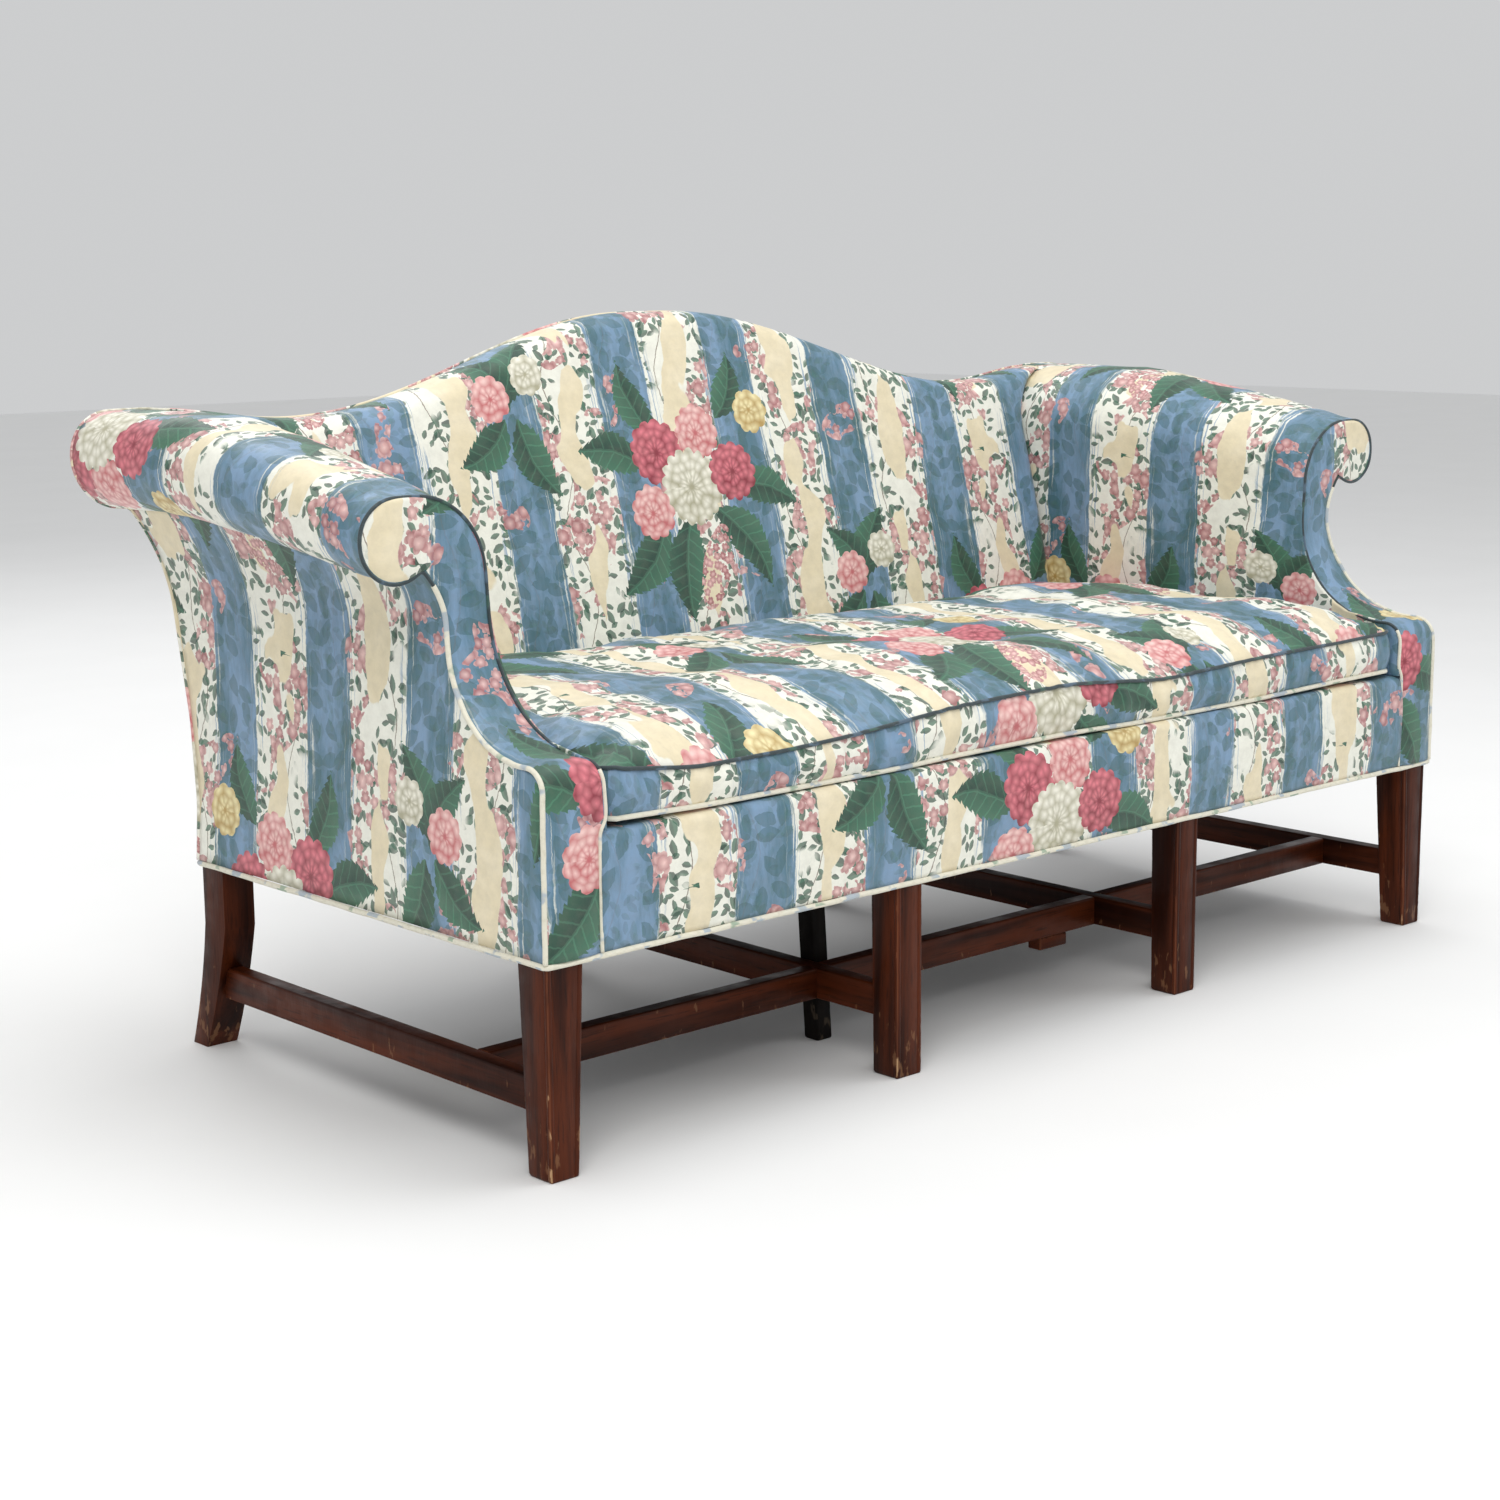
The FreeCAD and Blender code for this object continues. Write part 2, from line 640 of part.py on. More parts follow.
def rearLeg(name, side, middle):
    """A rear leg, straight to its splayed foot; the end ones run on up as posts of the back."""
    body = newBody(f"rear_leg_{name}")
    width = "Sizes.leg_width"
    offset = f"{middle} - {width} / 2"
    profile = sketchOn(body, "YZ_Plane", "profile", offset)
    back = size("seat_depth") - size("rear_leg_set")
    front = back - size("rear_leg_deep")
    heel = back + size("rear_leg_splay")
    instep = heel - size("rear_foot_deep")
    splay = size("splay_height")
    belly = size("splay_bow")
    drawOutline(profile, (front, railLow), [
        [(front, splay)],
        [((front + instep) / 2 - belly, splay / 2), (instep, 0)],
        [(heel, 0)],
        [((back + heel) / 2 - belly, splay / 2), (back, splay)],
        [(back, railLow)],
        [(front, railLow)],
    ])
    padSketch(body, profile, width)
    if side:
        post = sketchOn(body, "YZ_Plane", "post", across(side, "Sizes.stile_in", "Sizes.stile_wide")[0])
        top = armRearTop - size("stile_drop")
        drawOutline(post, (frameFront(0), railLow), [
            [(frameFront(0), rakeStart)],
            [(frameFront(top), top)],
            [(frameBack(top), top)],
            [(frameBack(0), rakeStart)],
            [(frameBack(0), railLow)],
            [(frameFront(0), railLow)],
        ])
        padSketch(body, post, "Sizes.stile_wide")
    return body


legNames = ["left", "inner_left", "inner_right", "right"]
legMiddles = [f"(Sizes.leg_span - Sizes.leg_width) * {2 * k - 3} / 6" for k in range(4)]

for name, middle in zip(legNames, legMiddles):
    side = sides.get(name, 0)
    if side:
        span = across(side, "0", "Sizes.corner_top")
        post = across(side, "Sizes.reveal", "(Sizes.corner_top - Sizes.reveal)")
        frontLeg(name, span, "Sizes.corner_top", "Sizes.corner_foot", side, post)
    else:
        frontLeg(name, about(middle, "Sizes.leg_width"), "Sizes.leg_deep", "Sizes.leg_foot_deep", 0, None)
    rearLeg(name, side, middle)
    spanX = about(middle, "Sizes.stretcher_thick")
    stretcher = bar(
        f"side_stretcher_{name}",
        (spanX[0], "Sizes.leg_foot_deep - Sizes.leg_housing", "Sizes.stretcher_low"),
        (spanX[1], f"{rearLegFrontText} + Sizes.leg_housing * 2", stretcherTopText),
    )
    dress(stretcher, "Fillet", "Radius", "Sizes.stretcher_round", topEdgesAlong("Y", stretcherTop))

for k, name in enumerate(["left", "middle", "right"]):
    low = f"{legMiddles[k]} + Sizes.stretcher_thick / 2"
    high = f"{legMiddles[k + 1]} - Sizes.stretcher_thick / 2"
    length = bar(
        f"middle_stretcher_{name}",
        (low, "Sizes.medial_place", "Sizes.stretcher_low"),
        (high, "Sizes.medial_place + Sizes.stretcher_thick", stretcherTopText),
    )
    dress(length, "Fillet", "Radius", "Sizes.stretcher_round", topEdgesAlong("X", stretcherTop))

supportSide = "Sizes.support_side"
supportX = f"{legMiddles[1]} + Sizes.stretcher_thick / 2 + Sizes.support_clear"
supportY = "Sizes.medial_place + Sizes.stretcher_thick + Sizes.support_set"
support = newBody("support_leg")
supportFoot = sketchOn(support, "XY_Plane", "foot")
supportEndY = f"{supportY} + {supportSide}"
drawRectangle(supportFoot, (supportX, supportY), (f"{supportX} + {supportSide}", supportEndY))
supportHead = sketchOn(support, "XY_Plane", "head", railLowText)
supportTopX = f"{supportX} - Sizes.support_lean * ({railLowText})"
drawRectangle(supportHead, (supportTopX, supportY), (f"{supportTopX} + {supportSide}", supportEndY))
supportShaft = support.newObject("PartDesign::AdditiveLoft", "support_leg_shaft")
supportShaft.Profile = supportFoot
supportShaft.Sections = [supportHead]
supportShaft.Ruled = True

bar(
    "stretcher_block",
    (
        "Sizes.block_place - Sizes.block_long / 2",
        "Sizes.medial_place",
        "Sizes.stretcher_low - Sizes.block_tall",
    ),
    (
        "Sizes.block_place + Sizes.block_long / 2",
        "Sizes.medial_place + Sizes.stretcher_thick",
        "Sizes.stretcher_low",
    ),
)

for name in legNames:
    cutAway(f"front_leg_{name}", [f"side_stretcher_{name}"])
    cutAway(f"rear_leg_{name}", [f"side_stretcher_{name}"])

# Seat frame

railBack = f"{frameFrontText} + Sizes.rail_thick"
bar(
    "front_rail",
    (f"Sizes.corner_top - {halfText}", "Sizes.reveal", railLowText),
    (f"{halfText} - Sizes.corner_top", "Sizes.reveal + Sizes.rail_thick", railTopText),
)
bar(
    "rear_rail",
    (f"Sizes.stile_in + Sizes.stile_wide - {halfText}", frameFrontText, railLowText),
    (f"{halfText} - Sizes.stile_in - Sizes.stile_wide", railBack, railTopText),
)
for name, side in sides.items():
    span = across(side, "Sizes.reveal", "Sizes.rail_thick")
    bar(
        f"side_rail_{name}",
        (span[0], "Sizes.corner_top", railLowText),
        (span[1], frameFrontText, railTopText),
    )
for name, middle in zip(("left", "right"), legMiddles[1:3]):
    span = about(middle, "Sizes.rail_thick")
    bar(
        f"cross_rail_{name}",
        (span[0], "Sizes.reveal + Sizes.rail_thick", railLowText),
        (span[1], frameFrontText, railTopText),
    )
grouped("seat_cross_rails", ["cross_rail_left", "cross_rail_right"])



def cornerBlock(side, corner, way):
    """A three-cornered block glued between a cross rail and the front or rear rail."""
    place = (bayPitch - size("rail_thick")) / 2
    reach = size("corner_block")
    plan = [(place, corner), (place - reach, corner), (place, corner + way * reach)]
    rings = [
        [FreeCAD.Vector(side * x, y, height) for x, y in plan]
        for height in (railLow + size("block_inset"), railTop - size("block_inset"))
    ]
    return facetSolid(rings)


bayPitch = (size("leg_span") - size("leg_width")) / 3
solidPiece(
    "corner_blocks",
    Part.makeCompound([
        cornerBlock(side, corner, way)
        for side in (-1, 1)
        for corner, way in ((size("reveal") + size("rail_thick"), 1), (frameFront(0), -1))
    ]),
)

# Webbing, springs and deck of the seat

springColumns = [
    (bay - 1) * bayPitch + side * bayPitch * size("spring_share") for bay in range(3) for side in (-1, 1)
]
springRows = [size("row_margin") + k * size("row_pitch") for k in range(3)]
columnTexts = [
    f"(Sizes.leg_span - Sizes.leg_width) / 3 * ({bay - 1} {sign} Sizes.spring_share)"
    for bay in range(3)
    for sign in ("-", "+")
]
webbing = newBody("seat_webbing")
alongY = sketchOn(webbing, "XY_Plane", "straps_front_to_back", f"{railLowText} - Sizes.web_thick")
for middle in columnTexts:
    span = about(middle, "Sizes.web_wide")
    drawRectangle(
        alongY, (span[0], "Sizes.reveal + Sizes.web_end"), (span[1], f"{railBack} - Sizes.web_end")
    )
padSketch(webbing, alongY, "Sizes.web_thick")
alongX = sketchOn(webbing, "XY_Plane", "straps_along", f"{railLowText} - 2 * Sizes.web_thick")
for k in range(3):
    span = about(f"Sizes.row_margin + {k} * Sizes.row_pitch", "Sizes.web_wide")
    drawRectangle(
        alongX,
        (f"Sizes.reveal + Sizes.web_end - {halfText}", span[0]),
        (f"{halfText} - Sizes.reveal - Sizes.web_end", span[1]),
    )
webbing.AllowCompound = True
padSketch(webbing, alongX, "Sizes.web_thick")

dustTop = f"{railLowText} - 2 * Sizes.web_thick"
bar(
    "dust_cover",
    (f"Sizes.reveal + Sizes.web_end - {halfText}", "Sizes.reveal", f"{dustTop} - Sizes.dust_thick"),
    (f"{halfText} - Sizes.reveal - Sizes.web_end", railBack, dustTop),
)
allLegs = [f"{end}_leg_{name}" for end in ("front", "rear") for name in legNames]
cutAway("dust_cover", allLegs + ["support_leg"])


def springShape():
    """One spring as a plain waisted shell of flat sides, from a strap up to the burlap."""
    outer, waist, shell = size("spring_radius"), size("spring_waist"), size("spring_shell")
    levels = ((outer, railLow), (waist, (railLow + burlapLow) / 2), (outer, burlapLow))
    hulls = []
    for inset in (0, shell):
        rings = []
        for radius, height in levels:
            ring = [onCircle((0, 0), radius - inset, 360 * k / springSides) for k in range(springSides)]
            rings.append([FreeCAD.Vector(*point, height) for point in ring])
        hulls.append(facetSolid(rings))
    return hulls[0].cut(hulls[1])


springSides = 8
spring = springShape()
solidPiece(
    "seat_springs",
    Part.makeCompound([
        spring.translated(FreeCAD.Vector(x, y, 0)) for x in springColumns for y in springRows
    ]),
)

deckSides = (f"Sizes.arm_core_in - {halfText}", f"{halfText} - Sizes.arm_core_in")
bar(
    "spring_burlap",
    (deckSides[0], "Sizes.reveal + Sizes.front_roll_deep", burlapLowText),
    (deckSides[1], frameFrontText, deckLowText),
)

deck = bar(
    "deck_pad",
    (deckSides[0], "Sizes.reveal", deckLowText),
    (deckSides[1], frameFrontText, deckTopText),
)
frontRoll = sketchOn(deck, "XY_Plane", "front_roll", railTopText)
drawRectangle(
    frontRoll, (deckSides[0], "Sizes.reveal"), (deckSides[1], "Sizes.reveal + Sizes.front_roll_deep")
)
padSketch(deck, frontRoll, f"{deckLowText} - ({railTopText})")

bar(
    "front_border",
    (f"Sizes.facing_in - {halfText}", "-Sizes.cover_proud", f"{railLowText} + Sizes.cloth_gap"),
    (f"{halfText} - Sizes.facing_in", "Sizes.facing_thick - Sizes.cover_proud", deckTopText),
)

# Wood of the back

backFrame = (rakedLine(frameFront), rakedLine(frameBack))
camelEnd = halfSpan - size("cap_in") - size("top_pad")
rearProfile = armProfile(1)


def backOutline(inset, low, top, end):
    """Front view of a panel of the back: up beside the arm, over its roll, and the top line."""
    middle, radius = rearProfile["rollMiddle"], rearProfile["roll"] - inset
    edge = middle[0] + radius
    reach = size(end) - middle[0]
    shoulder = (size(end), middle[1] + math.sqrt(radius**2 - reach**2))
    angle = math.degrees(math.acos(reach / radius))
    place = halfSpan - size(end)
    start, ends = mirrored((edge, low(halfSpan - edge)), [
        [(edge, middle[1])], turn(middle, radius, 0, angle)[:1] + [shoulder],
    ], -1)
    farStart, farEnds = mirrored((edge, low(halfSpan - edge)), [
        [(edge, middle[1])], turn(middle, radius, 0, angle)[:1] + [shoulder],
    ], 1)
    steps = ends + [[(-place, camelHeight(place) - top)], camelLine(-place, place, top)[1:]]
    steps += [[farEnds[1][-1]], [farEnds[1][0], farEnds[0][-1]], [farStart]]
    return start, steps + lowLine(farStart, start, low)


def lowLine(fromPoint, toPoint, low):
    """The lower edge between two points: straight, or following a function of the place."""
    middle = (fromPoint[0] + toPoint[0]) / 2
    if abs(low(middle) - fromPoint[1]) < 0.01:
        return [[toPoint]]
    step = (toPoint[0] - fromPoint[0]) / (camelPoints - 1)
    places = [fromPoint[0] + k * step for k in range(camelPoints)]
    return [[(x, low(x)) for x in places[1:]]]


def slab(label, outline, faces):
    return rakedSlab(label, *outline, *faces)


railUnder = size("camel_rail_tall") + size("top_pad")
boardInset = size("rear_scroll_pad")
slab(
    "camel_top_rail",
    backOutline(boardInset, lambda x: camelHeight(x) - railUnder, size("top_pad"), "arm_core_in"),
    backFrame,
)

uprightTop = max(camelHeight(bayPitch / 2), camelHeight(bayPitch / 2 + size("upright_wide"))) - railUnder
for name, side in sides.items():
    low, high = (side * bayPitch / 2 + half * size("upright_wide") / 2 for half in (-1, 1))
    slab(
        f"upright_{name}",
        ((low, railTop), [
            [(low, uprightTop + size("top_pad"))], [(high, uprightTop + size("top_pad"))],
            [(high, railTop)], [(low, railTop)],
        ]),
        backFrame,
    )
    cutAway(f"upright_{name}", ["camel_top_rail"])
grouped("back_uprights", ["upright_left", "upright_right"])

tackLow = railTop + size("tack_rail_rise")
tackTop = tackLow + size("tack_rail_tall")
innerEnd = bayPitch / 2 - size("upright_wide") / 2
outerStart = bayPitch / 2 + size("upright_wide") / 2
outerEnd = halfSpan - size("stile_in") - size("stile_wide")
for name, low, high in (
    ("left", -outerEnd, -outerStart),
    ("middle", -innerEnd, innerEnd),
    ("right", outerStart, outerEnd),
):
    box = [[(low, tackTop)], [(high, tackTop)], [(high, tackLow)], [(low, tackLow)]]
    slab(f"tack_rail_{name}", ((low, tackLow), box), backFrame)
grouped("back_tack_rails", ["tack_rail_left", "tack_rail_middle", "tack_rail_right"])

# Wood of the arms

postSteps = [
    [(0, postTop)],
    [(size("post_back"), postTop)],
    [(size("post_back"), railTop)],
    [(0, railTop)],
]
scrollFaces = (
    ((facingBack, 0), [[(facingBack, wellAbove)]]),
    ((boardBack, 0), [[(boardBack, wellAbove)]]),
)
stileTop = armRearTop - size("stile_drop")
armTackLow = deckTop + size("tack_rail_rise")
armTackTop = armTackLow + size("tack_rail_tall")
frontRailMiddle = armFrontTop - size("arm_rail_drop")
rearRailMiddle = armRearTop - size("arm_rail_drop")
halfRail = size("arm_rail_tall") / 2
for name, side in sides.items():
    post = sidePiece(
        f"arm_front_post_{name}", (0, railTop), postSteps, "Sizes.post_in", "Sizes.post_thick", side
    )
    cutThrough(post, "sweep", [before(sweepLine(size("facing_thick")))])
    slab(
        f"front_scroll_board_{name}",
        mirrored(*boardOutline(0, size("scroll_pad"), postTop), side),
        scrollFaces,
    )
    slab(
        f"rear_scroll_board_{name}",
        mirrored(*boardOutline(1, boardInset, stileTop), side),
        backFrame,
    )
    sidePiece(
        f"arm_top_rail_{name}",
        (boardBack, frontRailMiddle - halfRail),
        [
            [(boardBack, frontRailMiddle + halfRail)],
            [(frameFront(rearRailMiddle + halfRail), rearRailMiddle + halfRail)],
            [(frameFront(rearRailMiddle - halfRail), rearRailMiddle - halfRail)],
            [(boardBack, frontRailMiddle - halfRail)],
        ],
        "Sizes.arm_rail_in",
        "Sizes.arm_rail_wide",
        side,
    )
    sidePiece(
        f"arm_tack_rail_{name}",
        (size("post_back"), armTackLow),
        [
            [(size("post_back"), armTackTop)],
            [(frameFront(armTackTop), armTackTop)],
            [(frameFront(armTackLow), armTackLow)],
            [(size("post_back"), armTackLow)],
        ],
        "Sizes.post_in + Sizes.post_thick - Sizes.tack_rail_thick",
        "Sizes.tack_rail_thick",
        side,
    )
grouped("arm_tack_rails", ["arm_tack_rail_left", "arm_tack_rail_right"])
doc.recompute()

# Covers of the back

clothFace = lambda height: frameFront(height) - size("back_cloth")
deckLevel = lambda x: deckTop + size("cloth_gap")
slab(
    "back_burlap",
    backOutline(-size("cloth_gap"), lambda x: tackLow, size("top_pad"), "arm_core_in"),
    (rakedLine(clothFace), rakedLine(frameFront)),
)
crownMiddle = (deckTop + crestTop) / 2
insideLine = (insideFace(0), 0), [
    [(insideFace(deckTop), deckTop)],
    [
        (insideFace(crownMiddle) - size("inside_crown"), crownMiddle),
        (insideFace(crestTop), crestTop),
    ],
    [(insideFace(wellAbove), wellAbove)],
]
slab(
    "inside_back_pad",
    backOutline(-size("cloth_gap"), deckLevel, 0, "back_end_in"),
    (insideLine, rakedLine(clothFace)),
)


def stripOutline(low, high, end):
    """A strip of the back's top line between two depths below it."""
    upper = camelLine(-end, end, high)
    lower = camelLine(end, -end, low)
    return upper[0], [upper[1:], [lower[0]], lower[1:], [upper[0]]]


stripEnd = halfSpan - size("arm_core_in")
slab("back_top_edge_roll", stripOutline(size("top_pad"), 0, stripEnd), backFrame)

capEnd = halfSpan - size("cap_in")


def padUnderside(profile, place):
    """Height of the arm pad's underside between the notch and its inner slab."""
    notch, core = profile["notch"], size("arm_core_in")
    return notch[1] - size("pad_fall") * (place - notch[0]) / (core - notch[0])


def halfBack(side):
    """The outside back's outline on one side, from its foot up to the seam beside the cap."""
    steps = [
        [rearProfile["knee"]],
        [rearProfile["waist"]],
        [rearProfile["hollow"], rearProfile["notch"]],
        [(size("cap_in"), padUnderside(rearProfile, size("cap_in")))],
        [(size("cap_in"), camelHeight(capEnd))],
    ]
    return mirrored((-size("cover_proud"), coverFoot), steps, side)


leftStart, leftSteps = halfBack(-1)
rightStart, rightSteps = halfBack(1)
rightPoints = [rightStart] + [point for step in rightSteps for point in step]
slab(
    "outside_back_panel",
    (
        leftStart,
        leftSteps
        + [camelLine(-capEnd, capEnd, 0, 33)[1:]]
        + [[rightPoints[5]], [rightPoints[4]], [rightPoints[3], rightPoints[2]]]
        + [[rightPoints[1]], [rightPoints[0]], [leftStart]],
    ),
    (rakedLine(frameBack), rakedLine(rearFace)),
)

# Solids whose form is lofted or cut from plain prisms

frontWay = FreeCAD.Rotation(FreeCAD.Vector(1, 0, 0), 90)
sideWay = FreeCAD.Rotation(FreeCAD.Vector(1, 1, 1), 120)
spanWide = size("leg_span")


def wireOf(outline, rotation=FreeCAD.Rotation(), base=FreeCAD.Vector()):
    wire = Part.Wire([curve.toShape() for curve in outlineGeometry(*outline)])
    wire.Placement = FreeCAD.Placement(base, rotation)
    return wire


def sidePrism(outline):
    """A side view (Y and Z) extruded across the whole sofa."""
    face = Part.Face(wireOf(outline, sideWay, FreeCAD.Vector(-spanWide, 0, 0)))
    return face.extrude(FreeCAD.Vector(2 * spanWide, 0, 0))


def frontPrism(outline):
    """A front view (X and Z) extruded through the whole depth."""
    face = Part.Face(wireOf(outline, frontWay, FreeCAD.Vector(0, wellBefore, 0)))
    return face.extrude(FreeCAD.Vector(0, wellBehind - wellBefore, 0))


def loftAlong(outlineAt, chords):
    """A solid through the outlines at the arm's sections, on the left."""
    rings = []
    for y, share in armSections:
        points = sampled(mirrored(*outlineAt(share), -1), chords)
        rings.append([FreeCAD.Vector(x, y, z) for x, z in points])
    return facetSolid(rings)


def armShare(t):
    """How far the arm has risen at a share t of its way back: quicker at first."""
    return t * (1 + size("arm_lift") * (1 - t))


armRun = size("arm_full") - size("arm_place")
armSections = [(frontMost, 0)]
armSections += [(size("arm_place") + armRun * k / 3, armShare(k / 3)) for k in range(4)]
armSections += [(rearFace(wellAbove), 1)]


def scrollRegion(share):
    """Everything of an arm above the notch and inside its pad."""
    profile = armProfile(share)
    notch = profile["notch"]
    core = size("arm_core_in")
    far = notch[0] - spanWide / 8
    low = deckTop
    inner = core + spanWide / 8
    start = (core, low)
    return start, [
        [(core, padUnderside(profile, core))],
        [notch],
        [(far, notch[1] - (notch[0] - far))],
        [(far, wellAbove)],
        [(inner, wellAbove)],
        [(inner, low)],
        [start],
    ]


armWhole = loftAlong(armOutline, (9, 20, 4))
armTop = loftAlong(scrollRegion, ())
behindSweep = sidePrism(behind(sweepLine(size("facing_thick"))))
beforeFrameBack = sidePrism(before(rakedLine(frameBack)))
beforeRear = sidePrism(before(rakedLine(rearFace)))
outsideIn = mirrored((wellBefore, 0), [
    [(wellBefore, crestTop)],
    [(size("post_in"), crestTop)],
    [(size("post_in"), railTop)],
    [(size("reveal"), railTop)],
    [(size("reveal"), 0)],
    [(wellBefore, 0)],
], -1)
capIn = mirrored((wellBefore, 0), [
    [(wellBefore, crestTop)], [(size("cap_in"), crestTop)], [(size("cap_in"), 0)], [(wellBefore, 0)],
], -1)

woodInArm = [
    plainShape(f"{name}_left") for name in ("front_scroll_board", "rear_scroll_board", "arm_top_rail")
] + [plainShape("camel_top_rail"), plainShape("back_tack_rails")]
armPad = armWhole.common(armTop).common(behindSweep).common(beforeFrameBack).cut(woodInArm)
outsideArm = armWhole.cut(armTop).common(behindSweep).common(beforeFrameBack).common(frontPrism(outsideIn))
armCap = armWhole.common(armTop).common(beforeRear).cut(beforeFrameBack).common(frontPrism(capIn))
mirror = lambda shape: shape.mirror(FreeCAD.Vector(), FreeCAD.Vector(1, 0, 0))
for label, shape in (("arm_pad", armPad), ("outside_arm_panel", outsideArm), ("arm_rear_cap", armCap)):
    solidPiece(f"{label}_left", shape.Solids[0] if len(shape.Solids) == 1 else shape)
    solidPiece(f"{label}_right", mirror(shape))

for name, side in sides.items():
    slab(
        f"arm_front_panel_{name}",
        mirrored(*facingOutline(), side),
        (sweepLine(0), sweepLine(size("facing_thick"))),
    )

# Welts and cushion


def roundedLoop(corners, radii, draw=0.0):
    """A closed loop round four corners, its sides bowed inwards by a draw."""
    points = [FreeCAD.Vector(*corner, 0) for corner in corners]
    count = len(points)
    arcs = []
    for k, corner in enumerate(points):
        ends = []
        for other in (points[k - 1], points[(k + 1) % count]):
            along = (other - corner).normalize()
            inwards = FreeCAD.Vector(-along.y, along.x, 0)
            middle = sum(points, FreeCAD.Vector()) * (1 / count)
            inwards = inwards if inwards.dot(middle - corner) > 0 else inwards * -1
            slope = 4 * draw / (other - corner).Length
            ends.append((along + inwards * slope).normalize())
        half = ends[0].getAngle(ends[1]) / 2
        bisector = (ends[0] + ends[1]).normalize()
        reach = radii / math.tan(half)
        centre = corner + bisector * (radii / math.sin(half))
        arcs.append((corner + ends[0] * reach, centre - bisector * radii, corner + ends[1] * reach))
    start = (arcs[0][0].x, arcs[0][0].y)
    steps = []
    for k, (first, middle, last) in enumerate(arcs):
        steps.append([(middle.x, middle.y), (last.x, last.y)])
        nextPoint = arcs[(k + 1) % count][0]
        between = (last + nextPoint) * 0.5
        across = (nextPoint - last).normalize()
        inwards = FreeCAD.Vector(-across.y, across.x, 0)
        centre = sum(points, FreeCAD.Vector()) * (1 / count)
        inwards = inwards if inwards.dot(centre - between) > 0 else inwards * -1
        between = between + inwards * draw
        if draw:
            steps.append([(between.x, between.y), (nextPoint.x, nextPoint.y)])
        else:
            steps.append([(nextPoint.x, nextPoint.y)])
    steps[-1][-1] = start
    return start, steps


def weltRing(outline, height):
    """A welt of eight flat sides run along a closed loop at a height."""
    points = sampled(outline, (loopChords,) * 8)
    points = [point for k, point in enumerate(points) if math.dist(point, points[k - 1]) > 0.01]
    cornerRadius = size("welt_radius") / math.cos(math.pi / 8)
    rings = []
    for k, point in enumerate(points):
        ahead, back = points[(k + 1) % len(points)], points[k - 1]
        ways = [
            FreeCAD.Vector(b[0] - a[0], b[1] - a[1], 0).normalize()
            for a, b in ((back, point), (point, ahead))
        ]
        along = (ways[0] + ways[1]).normalize()
        outwards = FreeCAD.Vector(along.y, -along.x, 0)
        widened = 1 / outwards.dot(FreeCAD.Vector(ways[0].y, -ways[0].x, 0))
        middle = FreeCAD.Vector(*point, height)
        ring = [onCircle((0, 0), cornerRadius, 45 * j + 22.5) for j in range(8)]
        rings.append([middle + outwards * (a * widened) + FreeCAD.Vector(0, 0, b) for a, b in ring])
    return facetSolid(rings, True)


loopChords = 5
proud, welt = size("cover_proud"), size("welt_radius")
weltX = halfSpan + proud
weltRear = size("seat_depth") - size("rear_leg_set") + proud
weltCorners = [(-weltX, -proud), (weltX, -proud), (weltX, weltRear), (-weltX, weltRear)]
solidPiece("base_welt", weltRing(roundedLoop(weltCorners, size("welt_corner")), railLow - welt))

cushionBack = insideFace(deckTop) - size("inside_crown") / 2 - size("cushion_gap")


def cushionLoop(inset):
    """Plan of the cushion, narrower at the back, drawn in from its welts by an inset."""
    front = size("cushion_front") + inset
    rear = cushionBack - inset
    sideAt = lambda end: halfSpan - size(f"{end}_inner_low") - size("cushion_gap") - inset
    corners = [
        (-sideAt("front"), front),
        (sideAt("front"), front),
        (sideAt("rear"), rear),
        (-sideAt("rear"), rear),
    ]
    return roundedLoop(corners, size("cushion_corner"), size("cushion_draw"))


cushionLow = deckTop + size("cloth_gap")
lowWelt = cushionLow + 2 * welt
highWelt = lowWelt + size("cushion_box")
crown = size("cushion_crown")
crownSteps = ((0, 0), (0.42, 16), (0.75, 60), (0.93, 125), (1, 200))
seam = 2 * welt + size("cloth_gap")


def cushionLoft(levels):
    """A solid through the cushion's plan at heights and insets."""
    rings = []
    for height, inset in levels:
        points = sampled(cushionLoop(inset), (loopChords,) * 8)
        rings.append([FreeCAD.Vector(*point, height) for point in points])
    return facetSolid(rings)


core, boxing = (
    cushionLoft([(lowWelt, inset), (highWelt, inset)]) for inset in (seam + size("cushion_cloth"), seam)
)
solidPiece("cushion_core", core)
solidPiece("cushion_boxing", boxing.cut(core))
solidPiece("cushion_cover_bottom", cushionLoft([(cushionLow, seam + 16), (lowWelt, seam)]))
solidPiece(
    "cushion_cover_top",
    cushionLoft([(highWelt + crown * share, seam + inset) for share, inset in crownSteps]),
)
solidPiece(
    "cushion_welts",
    Part.makeCompound([weltRing(cushionLoop(welt), height) for height in (lowWelt, highWelt)]),
)

# Check and export

doc.recompute()
for item in doc.Objects:
    if {"Invalid", "Error"} & set(item.State):
        raise RuntimeError(f"{item.Label} could not be built")
os.makedirs("parts", exist_ok=True)
for label, piece in pieces.items():
    shape = piece.Shape
    if shape.isNull() or not shape.isValid():
        raise RuntimeError(f"{label} has no sound shape")
    shape.exportStep(f"parts/{label}.step")
print(f"{len(pieces)} pieces written")
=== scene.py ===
import bmesh
import bpy
import numpy as np
from mathutils import Matrix, Vector


